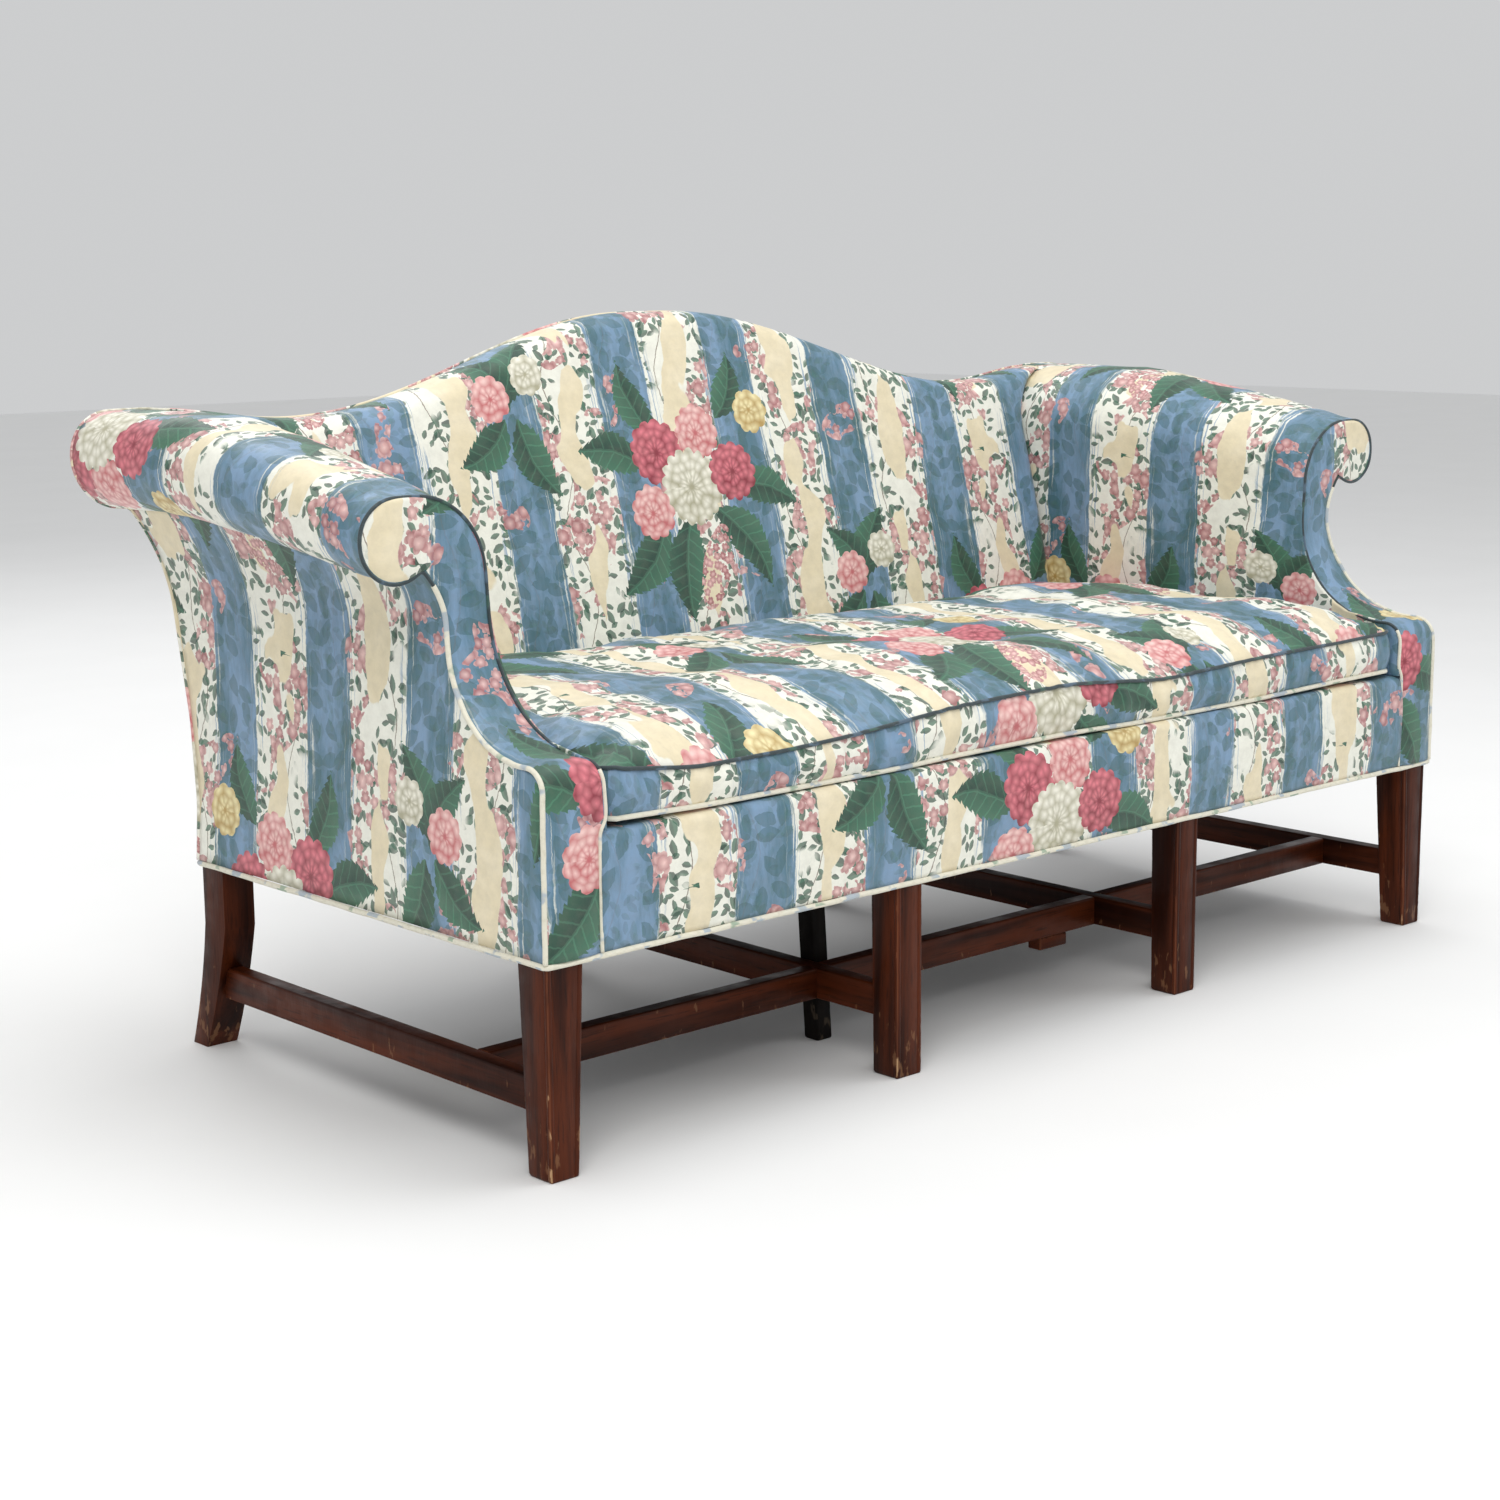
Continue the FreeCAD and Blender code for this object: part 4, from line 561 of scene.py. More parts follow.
printed = chintzMaterial("stripedChintz")
paleWelt = weltMaterial("paleWelt", rgb(228, 224, 206), rgb(186, 178, 152), 0.6)
darkWelt = weltMaterial("darkWelt", rgb(44, 58, 62), rgb(84, 100, 104), 0.3)
stain = rgb(34, 10, 3), rgb(86, 38, 17), rgb(140, 100, 70)  # dark, light and worn
# colours of the pale edge finish, which paints a highlight down the front legs' corners as well as rubbed
# wear on eased edges
rubbed = rgb(56, 22, 11), rgb(112, 62, 38), rgb(176, 140, 104)
beech = rgb(176, 138, 94), rgb(214, 182, 138), rgb(226, 200, 160)
mahogany = {axis: woodMaterial(f"mahoganyGrain{axis.upper()}", axis, *stain) for axis in "xyz"}
# the pale edge finish: a painted highlight on the front legs' corner beads, and rubbed wear on the eased
# edges of the other wood
rubbedAndHighlitEdge = woodMaterial("mahoganyRubbedEdge", "z", *rubbed, 0.5, 0.5)
roughWood = woodMaterial("darkRoughWood", "z", rgb(10, 7, 5), rgb(24, 18, 13), rgb(70, 60, 48), 0.4, 0.75)
frameWood = woodMaterial("frameBeech", "x", *beech, 0.1, 0.7)
burlap = wovenMaterial("burlapWeave", rgb(196, 164, 112), rgb(110, 82, 50), 330.0)
backBurlap = wovenMaterial("backBurlapWeave", rgb(196, 164, 112), rgb(110, 82, 50), 330.0, ways="XZ")
webbing = wovenMaterial("juteWebbing", rgb(186, 156, 110), rgb(94, 66, 40), 200.0)
cambric = wovenMaterial("blackCambric", rgb(40, 40, 42), rgb(12, 12, 13), 700.0, 0.9, 0.5)
deckCotton = wovenMaterial("deckCotton", rgb(236, 228, 206), rgb(188, 178, 152), 520.0, 0.8, 0.2)
springSteel = steelMaterial("springSteel")
print("materials made")

# The arm. share runs from 0 at the front scroll to 1 where the arm has its full height

arm = {
    "top": (757, 829),
    "roll": (95, 100),
    "rollIn": (-25, 0),
    "curl": (48, 60),
    "curlIn": (-52, -50),
    "curlTurn": (45, 10),
    "waistIn": (12, 5),
    "waistDrop": (77, 130),
    "kneeIn": (-3, 7),
    "footIn": (86, 100),
    "kneeHigh": 436,
    "waistBow": 10,
    "scrollFace": 185,
    "fullPlace": 600,
    "lift": 0.25,
    "weltRadius": 3.1,
    "capIn": 45.0,  # inner edge and foot of the rear cap
    "capLow": 697.0,
}


def rearFace(z):
    return sofa["rearFoot"] + 0.18 * np.maximum(0, z - 330)


def insideFace(z):
    return 639.16 + 0.26 * (z - sofa["deck"])


# The arm rises quickly at first: t plus a quarter of t(1 - t)
def armShare(y):
    t = np.clip((y - arm["scrollFace"]) / (arm["fullPlace"] - arm["scrollFace"]), 0, 1)
    return t * (1 + arm["lift"] * (1 - t))


def armSize(name, share):
    return mixed(*arm[name], share)


# Over the arm, at s: 0 to 1 up the inside to where it meets the roll, to 2 round the roll to its
# top, to 3 along the level top, to 4 round the curl to the notch under it
def overArm(share, s):
    share, s = np.broadcast_arrays(np.asarray(share, float), s)
    top, roll, curl = (armSize(name, share) for name in ("top", "roll", "curl"))
    rollIn, curlIn, footIn = (armSize(name, share) for name in ("rollIn", "curlIn", "footIn"))
    rollZ, curlZ = top - roll, top - curl
    reachIn, reachZ = footIn - rollIn, sofa["deck"] - rollZ
    touch = np.arctan2(reachZ, reachIn) + np.arccos(roll / np.hypot(reachIn, reachZ))
    touchIn, touchZ = rollIn + roll * np.cos(touch), rollZ + roll * np.sin(touch)
    t = s - np.floor(np.minimum(s, 3.999999))
    angle = mixed(touch, np.pi / 2, t)
    curlEnd = np.radians(270 + armSize("curlTurn", share))
    curlAngle = mixed(np.pi / 2, curlEnd, t)
    cases = [s < 1, s < 2, s < 3]
    inwards = [mixed(footIn, touchIn, t), rollIn + roll * np.cos(angle), mixed(rollIn, curlIn, t)]
    heights = [mixed(sofa["deck"], touchZ, t), rollZ + roll * np.sin(angle), top]
    return (
        np.select(cases, inwards, curlIn + curl * np.cos(curlAngle)),
        np.select(cases, heights, curlZ + curl * np.sin(curlAngle)),
    )


# Down the outside, at s: 0 to 1 from the notch by a hollow to the waist, to 2 the knee, to 3 the foot
def underArm(share, s):
    share, s = np.broadcast_arrays(np.asarray(share, float), s)
    notchIn, notchZ = overArm(share, np.full_like(share, 4.0))
    waistIn, waistZ = armSize("waistIn", share), notchZ - armSize("waistDrop", share)
    kneeIn = armSize("kneeIn", share)
    t = s - np.floor(np.minimum(s, 2.999999))
    bowIn = 2 * ((notchIn + waistIn) / 2 + arm["waistBow"]) - (notchIn + waistIn) / 2
    curveIn = (1 - t) ** 2 * notchIn + 2 * t * (1 - t) * bowIn + t * t * waistIn
    cases, knee = [s < 1, s < 2], arm["kneeHigh"]
    inwards = [curveIn, mixed(waistIn, kneeIn, t)]
    heights = [mixed(notchZ, waistZ, t), mixed(waistZ, knee, t)]
    return (
        np.select(cases, inwards, mixed(kneeIn, -sofa["proud"], t)),
        np.select(cases, heights, mixed(knee, sofa["coverFoot"], t)),
    )


armFront = {
    "toeLow": 442,
    "toeRadius": 28.0,
    "toeY": 24,  # middle of the toe's curve
    "sweepY": 35,  # middle of the sweep's curve
    "sweepTop": 620,
    "sweepRadius": 150.0,
    "innerIn": 76,
    "neck": (85, 404),  # where the inner edge leaves the cushion's side
    "crown": 5.0,
}
armGrid = {"frontRows": 16, "frontReach": 230, "middleRows": 40, "rearRows": 14, "softness": 1.3}


# Side view of the arm's front edge: upright, round the toe, level, then swept up to the scroll
def sweepY(z):
    low, radius = armFront["toeLow"], armFront["toeRadius"]
    high, reach = armFront["sweepTop"], armFront["sweepRadius"]
    toe = armFront["toeY"] - np.sqrt(np.maximum(0, radius**2 - np.clip(z - low, 0, radius) ** 2))
    sweep = armFront["sweepY"] + np.sqrt(np.maximum(0, reach**2 - np.clip(high - z, 0, reach) ** 2))
    cases = [z < low, z < low + radius, z < high]
    return np.select(cases, [-sofa["proud"] + 0 * z, toe, sweep], arm["scrollFace"] + 0.0 * z)


# y along the arm for each row of the grid: the swept front edge, a fixed reach behind it, the rear
def armRows(z, rear):
    front = sweepY(z)
    first = np.linspace(0, 1, armGrid["frontRows"], endpoint=False)[:, None]
    reach = armGrid["frontReach"]
    middle = np.linspace(reach, arm["fullPlace"], armGrid["middleRows"], endpoint=False)[:, None]
    last = np.linspace(0, 1, armGrid["rearRows"])[:, None]
    return np.concatenate([
        front + (reach - front) * first,
        np.broadcast_to(middle, (len(middle), len(z))),
        arm["fullPlace"] + (rear - arm["fullPlace"]) * last,
    ])


# Even steps between places, given as place, count, place, count, ... place
def stretches(*places):
    parts = [np.linspace(a, b, count) for a, count, b in zip(places[::2], places[1::2], places[2::2])]
    return np.concatenate([part[:-1] for part in parts[:-1]] + parts[-1:])


# The two long covers of one arm: over the inside, roll and curl, and down the outside
def makeArm(side, name):
    s = stretches(0, 26, 1, 16, 2, 4, 3, 24, 4)
    frontZ = overArm(0.0, s)[1]
    fullIn, fullZ = overArm(1.0, s)
    y = armRows(frontZ, rearFace(fullZ) - 2)
    inwards, z = overArm(armShare(y), s)
    # stuffing: a slow swell, and short pleats drawn round the curl just behind the scroll
    pleats = np.exp(-(((y - 215) / 60) ** 2)) * np.sin(y / 9 + 2.0 * s) * smooth((s - 2.6) / 0.8) * 1.3
    swell = armGrid["softness"] * ripple(y, s * 110, 150, 11 + side) + pleats
    belly = 5 * np.sin(np.pi * np.clip(s, 0, 1)) * smooth((y - 20) / 120) * smooth((640 - y) / 80)
    quarter = np.pi / 2
    facing = [0 * s, (s - 1) * quarter, quarter + 0 * s]
    towards = np.select([s < 1, s < 2, s < 3], facing, quarter + (s - 3) * 2.8)
    clear = smooth((y - sweepY(z)) / 20)  # nothing swells at the seam
    inwards = inwards + (swell * clear + belly) * np.cos(towards)
    z = z + swell * np.sin(towards) * clear
    points = placed(side * (half - inwards), y, z)
    up = np.broadcast_to(runLength(placed(fullIn, 0, fullZ)[None], 1)[0], y.shape)
    cloth = np.stack([side * y / 1000 + 0.105, up + sofa["deck"] / 1000 + 0.02], -1)
    cover = buildPiece(f"armCover{name}", [gridPart(points, cloth)], outward=(-side, 0, 1))
    thicken(cover, 3)
    finishPiece(cover, printed, "striped_chintz", f"arm_pad_{name.lower()}")

    s = stretches(0, 16, 1, 14, 2, 12, 3)
    frontZ, fullZ = underArm(0.0, s)[1], underArm(1.0, s)[1]
    y = armRows(frontZ, rearFace(fullZ) - 1)
    inwards, z = underArm(armShare(y), s)
    kernel = np.array([1, 3, 5, 6, 5, 3, 1]) / 24  # rounds the waist and the knee
    evened = lambda line: np.convolve(np.pad(line, 3, "edge"), kernel, "valid")
    soft = np.apply_along_axis(evened, 1, inwards)
    soft[:, :2], soft[:, -3:] = inwards[:, :2], inwards[:, -3:]
    hollow = 2.0 * np.sin(np.pi * np.clip((y - sweepY(z)) / (rearFace(z) - sweepY(z)), 0, 1))
    soft = soft + hollow + 0.7 * ripple(y, z, 190, 23 + side)
    points = placed(side * (half - soft), y, z)
    cloth = np.stack([-side * y / 1000 + 0.105, z / 1000 + 0.18], -1)
    outside = buildPiece(f"outsideArmCover{name}", [gridPart(points, cloth)], outward=(side, 0, 0))
    thicken(outside, 3)
    finishPiece(outside, printed, "striped_chintz", f"outside_arm_panel_{name.lower()}")


# Points of a line at given shares of its count
def pick(line, share):
    at = np.linspace(0, 1, len(line))
    return np.stack([np.interp(share, at, line[:, k]) for k in range(line.shape[1])], 1)


# The arm front runs between two rails in a front view. Below the sweep's top both are level with
# each other; above, one goes up the inside of the arm to the top of the roll, the other round the
# curl to it
def facingRails():
    foot, high = sofa["coverFoot"], armFront["sweepTop"]
    low, radius, reach = (armFront[key] for key in ("toeLow", "toeRadius", "sweepRadius"))
    toeTurn, sweepTurn = np.linspace(0, np.pi / 2, 10), np.linspace(0, np.pi / 2, 26)
    level = np.concatenate([
        np.linspace(foot, low, 20)[:-1],
        low + radius * np.sin(toeTurn),
        high - reach * np.cos(sweepTurn),
    ])
    lineY = np.concatenate([
        np.full(19, -sofa["proud"]),
        armFront["toeY"] - radius * np.cos(toeTurn),
        armFront["sweepY"] + reach * np.sin(sweepTurn),
    ])
    neck = armFront["neck"]
    climbIn, climbZ = overArm(0.0, np.linspace(0, 1, 60))
    above = climbZ > neck[1] + 1
    lowZ, lowIn = (foot, sofa["deck"], neck[1]), (armFront["innerIn"], armFront["innerIn"], neck[0])
    insideIn = np.interp(level, np.append(lowZ, climbZ[above]), np.append(lowIn, climbIn[above]))
    underIn, underZ = underArm(0.0, np.linspace(3, 0, 120))
    outsideIn = np.interp(level, underZ, underIn)

    innerHigh = np.stack(overArm(0.0, np.concatenate([np.linspace(0, 1, 80), np.linspace(1, 2, 40)])), 1)
    innerHigh = evenly(innerHigh[innerHigh[:, 1] > high], 1.0)
    curl = np.stack(overArm(0.0, np.concatenate([np.linspace(4, 3, 60), np.linspace(3, 2, 6)[1:]])), 1)
    under = np.stack([underIn, underZ], 1)[underZ > high]
    outerHigh = evenly(np.concatenate([under, curl]), 1.0)
    share = np.linspace(0, 1, 52)[1:]
    # matched so that every line between the rails stays above the notch
    innerShare = np.interp(share, [0, 0.18, 0.34, 0.62, 0.85, 1], [0, 0.40, 0.60, 0.76, 0.9, 1])
    inner = np.concatenate([np.stack([insideIn, level], 1), pick(innerHigh, innerShare)])
    outer = np.concatenate([np.stack([outsideIn, level], 1), pick(outerHigh, share)])
    y = np.concatenate([lineY, np.full(len(share), arm["scrollFace"])])
    return inner, outer, y


def makeArmFront(side, name):
    inner, outer, lineY = facingRails()
    across = np.concatenate([[0, 0.015, 0.04], np.linspace(0.08, 0.92, 22), [0.96, 0.985, 1]])
    inwards = mixed(inner[:, :1], outer[:, :1], across)
    z = mixed(inner[:, 1:], outer[:, 1:], across)
    y = np.broadcast_to(lineY[:, None], z.shape)
    # the line's own normal in a side view, forwards and up
    stepY, stepZ = np.gradient(lineY), np.gradient(mixed(inner[:, 1], outer[:, 1], 0.5))
    high = np.arange(len(lineY)) > 54
    normalY, normalZ = -stepZ, stepY
    normalY, normalZ = np.where(high, -1, normalY), np.where(high, 0, normalZ)
    size = np.hypot(normalY, normalZ)
    normalY, normalZ = rounded(normalY / size, 2)[:, None], rounded(normalZ / size, 2)[:, None]
    width = np.hypot(*(inner - outer).T)[:, None]
    crown = armFront["crown"] * (1 - np.abs(2 * across - 1) ** 3.0) * np.minimum(1, width / 70) - 1.2
    crown = crown + 0.8 * ripple(inwards, z + y, 70, 31 + side) * np.sin(np.pi * across)
    flatZ, level = z, (inner[:, 1:] + outer[:, 1:]) / 2
    y, z = y + crown * normalY, z + crown * normalZ
    run = runLength(placed(0 * lineY, lineY, (inner[:, 1] + outer[:, 1]) / 2)[:, None], 0)
    cloth = np.stack([side * ((half - inwards) / 1000 - 0.068), run + 0.26 + (flatZ - level) / 1000], -1)
    points = placed(side * (half - inwards), y, z)
    facing = buildPiece(f"armFront{name}", [gridPart(points, cloth)], outward=(0, -1, 0.2))
    thicken(facing, 4)
    finishPiece(facing, printed, "striped_chintz", f"arm_front_panel_{name.lower()}")

    corners = np.column_stack([outer, lineY]), np.column_stack([inner, lineY])
    outline = np.concatenate([corners[0], corners[1][::-1][1:]])
    ways = np.column_stack([0 * lineY, normalY[:, 0], normalZ[:, 0]])
    ways = np.concatenate([ways, ways[::-1][1:]])
    line = placed(side * (half - outline[:, 0]), outline[:, 2], outline[:, 1])
    run = runLength(line[:, None], 0)[:, 0]
    curlRows = np.arange(len(outline)) > 60
    underCurl = run[np.argmin(np.where(curlRows, outline[:, 1], 9e9)[: len(lineY)])]
    turned = run[len(lineY) :][outline[len(lineY) :, 1] < 462][0]  # where the dark cord ends
    for part, start, end, finish, radius in (
        ("Outer", 0, underCurl, paleWelt, arm["weltRadius"]),
        ("Top", underCurl, turned, darkWelt, arm["weltRadius"] - 0.9),
        ("Inner", turned, run[-1], paleWelt, arm["weltRadius"] - 0.6),
    ):
        at = np.linspace(start, end, int((end - start) / 0.005))
        path = rounded(np.stack([np.interp(at, run, line[:, k]) for k in range(3)], 1), 1)
        upward = np.stack([np.interp(at, run, ways[:, k]) for k in range(3)], 1)
        ruffle = 0.0005 * ripple(at, 0 * at, 0.05, 41 + side) - 0.0005
        cord = cordPart(path + upward * ruffle[:, None], radius / 1000, upward)
        welt = buildPiece(f"armFront{part}Welt{name}", [cord])
        finishPiece(welt, finish, "welt_cloth")


# Behind the arm a cap closes the end of the roll, between a straight rail and the curl
def makeArmRearCap(side, name):
    at = np.linspace(0, 1, 44)
    curlS = np.concatenate([np.linspace(4, 3, 70), np.linspace(3, 2, 10)[1:], np.linspace(2, 1.0, 80)[1:]])
    rim = np.stack(overArm(1.0, curlS), 1)
    rim = evenly(rim[rim[:, 0] <= arm["capIn"] + 0.5], 1.0)
    innerZ = np.interp(at**0.8, [0, 1], [arm["capLow"], rim[-1, 1]])
    inner = np.stack([np.full_like(at, arm["capIn"]), innerZ], 1)
    outer = pick(rim, at)
    across = np.linspace(0, 1, 22)
    inwards = mixed(inner[:, :1], outer[:, :1], across)
    z = mixed(inner[:, 1:], outer[:, 1:], across)
    width = np.hypot(*(inner - outer).T)[:, None]
    crown = 4 * np.sin(np.pi * across) ** 0.6 * np.minimum(1, width / 60)
    points = placed(side * (half - inwards), rearFace(z) + crown, z)
    cloth = np.stack([-side * (half - inwards) / 1000, z / 1000], -1)
    cap = buildPiece(f"armRearCap{name}", [gridPart(points, cloth)], outward=(0, 1, 0))
    thicken(cap, 3)
    finishPiece(cap, printed, "striped_chintz", f"arm_rear_cap_{name.lower()}")


for side, name in ((-1, "Left"), (1, "Right")):
    makeArm(side, name)
    makeArmFront(side, name)
    makeArmRearCap(side, name)
print("arms made")

# The back

back = {
    "crest": 934,
    "dip": 809,
    "level": 35,
    "dipPlace": 640,
    "armTop": 829,
    "endIn": 30,  # outer end of the inside back, above the arm
    "sideHalf": 746.7,
    "hugRadius": 100.3,
    "hugHigh": 729,
    "creaseRadius": 26,
    "edgeRadius": 27,
    "crown": 9,
    "fullest": 663,  # height of the fullest place, and how far the bulge runs either way
    "crownReach": 271,
}


# Height of the back's top line: a raised cosine down to the dip, then a gentle rise
def camelHeight(x):
    away = np.abs(x)
    fall = np.clip((away - back["level"]) / (back["dipPlace"] - back["level"]), 0, 1)
    rise = np.clip((away - back["dipPlace"]) / (half - back["dipPlace"]), 0, 1)
    return (
        back["dip"]
        + (back["crest"] - back["dip"]) * (1 + np.cos(np.pi * fall)) / 2
        + (back["armTop"] - back["dip"]) * (1 - np.cos(np.pi * rise)) / 2
    )


def bezier(a, b, c, d, t):
    return (1 - t) ** 3 * a + 3 * t * (1 - t) ** 2 * b + 3 * t * t * (1 - t) * c + t**3 * d


# Front of the inside back: raked, bulging, and falling back in a quarter round into the crease
# along the arm
def backFront(x, z):
    across = np.abs(x)
    overRoll = np.hypot(half - across, z - back["hugHigh"]) - back["hugRadius"]
    away = np.where(z < back["hugHigh"], back["sideHalf"] - across, overRoll)
    deep = back["creaseRadius"]
    gap = np.clip(deep - away, 0, deep)
    fall = deep - np.sqrt(deep**2 - gap**2)
    bulge = back["crown"] * (1 - ((z - back["fullest"]) / back["crownReach"]) ** 2)
    soft = 1.6 * ripple(x, z, 260, 51) * smooth(away / 60)
    return insideFace(z) - bulge + 0.8 * fall + soft


# The inside back: its front, a rolled top edge, the level top and a turned-down rear edge
def makeInsideBack():
    end = half - back["endIn"]
    outer = np.linspace(back["sideHalf"], end, 11)[1:]
    x = np.concatenate([-outer[::-1], np.linspace(-back["sideHalf"], back["sideHalf"], 201), outer])
    high = camelHeight(x)
    beyond = np.abs(x) > back["sideHalf"] + 0.01
    armTop = back["hugHigh"] + np.sqrt(np.maximum(0, back["hugRadius"] ** 2 - (half - np.abs(x)) ** 2))
    low = np.where(beyond, armTop, back["hugHigh"])
    radius = np.minimum(back["edgeRadius"], 0.55 * (high - low))
    lowerRows = 44
    lower = np.linspace(sofa["deck"] + 1, back["hugHigh"], lowerRows)[:-1, None] + 0 * x
    faceEnd = high - radius
    upper = low + (faceEnd - low) * np.linspace(0, 1, 26)[:, None]
    z = np.concatenate([lower, upper])
    y = backFront(x, z)
    rear = rearFace(high)
    t = np.linspace(0, 1, 13)[1:, None]
    startY, startZ = y[-1], z[-1]
    lean = np.gradient(z[-2:], axis=0)[0], np.gradient(y[-2:], axis=0)[0]
    slope = np.clip(lean[1] / np.maximum(lean[0], 1e-3), -0.3, 0.6)
    crestY = np.minimum(startY + radius * 1.15, rear - 12)
    overY = bezier(startY, startY + slope * radius * 0.6, crestY - radius * 0.55, crestY, t)
    overZ = bezier(startZ, startZ + radius * 0.6, high, high, t)
    flat = np.linspace(0, 1, 5)[1:, None]
    flatY, flatZ = mixed(crestY, rear - 9, flat), high + 1.2 * np.sin(np.pi * flat)
    down = np.linspace(0, 1, 6)[1:, None]
    downY = bezier(rear - 9, rear - 3, rear - 0.5, rear - 0.5, down)
    downZ = bezier(high, high, high - 3, high - 9, down)
    z = np.concatenate([z, overZ, flatZ, downZ, high[None] - 20])
    y = np.concatenate([y, overY, flatY, downY, rear[None] - 4])
    points = placed(x, y, z)
    start = np.where(beyond, low, sofa["deck"])[None] * 1.033 / 1000
    run = runLength(points, 0)
    run = run - np.where(beyond, run[lowerRows - 1], 0)
    cloth = np.stack([np.broadcast_to(x / 1000, z.shape), run + start], -1)
    keep = np.ones((len(z) - 1, len(x) - 1), bool)
    keep[: lowerRows - 1, beyond[:-1] | beyond[1:]] = False
    pad = buildPiece("insideBackCover", [gridPart(points, cloth, keep)], outward=(0, -1, 0.3))
    thicken(pad, 3)
    finishPiece(pad, printed, "striped_chintz", "inside_back_pad", "back_top_edge_roll")


# The outside back: columns are shares of its width, which follows the outside arms' own line; the
# columns beyond the rear caps stop under them
def makeOutsideBack():
    capLow = arm["capLow"]
    a = np.linspace(-1, 1, 121)
    sideIn, sideZ = underArm(1.0, np.linspace(3, 0, 200))
    wide = lambda z: half - np.interp(z, sideZ, sideIn)
    capShare = (half - arm["capIn"]) / wide(capLow)
    a = np.unique(np.concatenate([a, [-capShare, capShare]]))
    over = np.clip((np.abs(a) - capShare) / (1 - capShare), 0, 1)
    top = capLow + 12.9 * over
    z = sofa["coverFoot"] + (top - sofa["coverFoot"]) * np.linspace(0, 1, 40)[:, None]
    x = a * wide(z)
    upX = a * wide(capLow)
    upZ = capLow + (camelHeight(upX) - 4 - capLow) * np.linspace(0, 1, 16)[1:, None]
    x = np.concatenate([x, np.broadcast_to(upX, upZ.shape)])
    z = np.concatenate([z, upZ])
    hollow = 3 * np.cos(np.pi * x / 1800) * np.sin(np.pi * np.clip((z - 254) / 600, 0, 1))
    slack = 1.5 * ripple(x, z, 330, 61) - hollow
    y = rearFace(z) + slack * smooth((camelHeight(x) - z) / 60) * smooth((z - 254) / 60)
    keep = np.ones((len(z) - 1, len(a) - 1), bool)
    outside = np.abs(a) > capShare + 1e-6
    keep[39:, outside[:-1] | outside[1:]] = False
    cloth = np.stack([-x / 1000, z / 1000 + 0.07], -1)
    panel = buildPiece("outsideBackCover", [gridPart(placed(x, y, z), cloth, keep)], outward=(0, 1, 0))
    thicken(panel, 3)
    finishPiece(panel, printed, "striped_chintz", "outside_back_panel")


# A cord round the rear: up the arm's outside, round the curl, over the roll and along the top line
def makeBackWelt():
    downIn, downZ = underArm(1.0, np.linspace(3, 0, 60))
    curlS = np.concatenate([np.linspace(4, 3, 60), np.linspace(3, 2, 6)[1:], np.linspace(2, 1.7, 12)[1:]])
    curlIn, curlZ = overArm(1.0, curlS)
    inwards, z = np.concatenate([downIn, curlIn[1:]]), np.concatenate([downZ, curlZ[1:]])
    outer = (np.arange(len(z)) < len(downIn)) | (inwards < 28)
    inwards, z = inwards[outer], z[outer]
    topX = np.linspace(-(half - back["endIn"]), half - back["endIn"], 120)
    x = np.concatenate([-(half - inwards), topX, (half - inwards)[::-1]])
    z = np.concatenate([z, camelHeight(topX) - 1, z[::-1]])
    path = rounded(evenly(placed(x, rearFace(z) + 0.2, z), 0.006), 2)
    welt = buildPiece("backEdgeWelt", [cordPart(path, 0.0026, (0, 1, 0))])
    finishPiece(welt, printed, "welt_cloth")


makeInsideBack()
makeOutsideBack()
makeBackWelt()
print("back made")

# Front border and deck

border = {"halfLong": 771.0, "round": 11.0, "crown": 4.0, "lip": 100.0}


# The front border: up the front with a slight bulge, round its top edge, and back over the deck
def makeFrontBorder():
    x = np.linspace(-border["halfLong"], border["halfLong"], 181)
    up = np.linspace(sofa["coverFoot"], sofa["deck"] - 1 - border["round"], 22)
    turn = np.linspace(0, np.pi / 2, 9)[1:]
    lip = np.linspace(border["round"] - 4, border["lip"], 12)[1:]
    lineY = np.concatenate([0 * up - 4, border["round"] * (1 - np.cos(turn)) - 4, lip])
    lineZ = np.concatenate([up, up[-1] + border["round"] * np.sin(turn), 0 * lip + sofa["deck"] - 1])
    share = np.clip((lineZ - sofa["coverFoot"]) / 130, 0, 1)[:, None]
    crown = (border["crown"] + 0.9 * ripple(x, lineZ[:, None], 120, 71)) * np.sin(np.pi * share)
    y = np.where(lineY[:, None] < 6, lineY[:, None] - crown, lineY[:, None])
    z = np.broadcast_to(lineZ[:, None], y.shape)
    run = runLength(placed(0 * lineY, lineY, lineZ)[:, None], 0)
    cloth = np.stack([np.broadcast_to(x / 1000, y.shape), run + 0.07 + 0 * y], -1)
    cover = buildPiece("frontBorderCover", [gridPart(placed(x, y, z), cloth)], outward=(0, -1, 0))
    thicken(cover, 2.5)
    finishPiece(cover, printed, "striped_chintz", "front_border")


# The deck: plain cloth that sags a little, seamed to the border's cloth
def makeDeck():
    x = np.linspace(-1, 1, 90)
    y = np.linspace(border["lip"] - 2, 640, 50)[:, None]
    wide = 845 - mixed(*arm["footIn"], y / 640)
    sag = -3.0 * np.sin(np.pi * (x + 1) / 2) * np.sin(np.pi * (y - 90) / 560)
    sag = sag + 0.5 * ripple(x * 700, y, 200, 81)
    z = sofa["deck"] - 1.2 + np.minimum(sag, 0.3)
    points = placed(x * wide, y, z)
    cloth = np.stack([x * wide / 1000, y / 1000 + 0 * x], -1)
    deck = buildPiece("deckCover", [gridPart(points, cloth)], outward=(0, 0, 1))
    thicken(deck, 3)
    finishPiece(deck, deckCotton, "deck_cloth", "deck_pad")
    seamX = np.linspace(-755, 755, 200)
    seam = placed(seamX, border["lip"] + 0 * seamX, sofa["deck"] - 0.4 + 0 * seamX)
    cord = buildPiece("deckSeam", [cordPart(seam, 0.0012, (0, 0, 1), 8)])
    finishPiece(cord, deckCotton, "deck_cloth")


makeFrontBorder()
makeDeck()

# Seat cushion

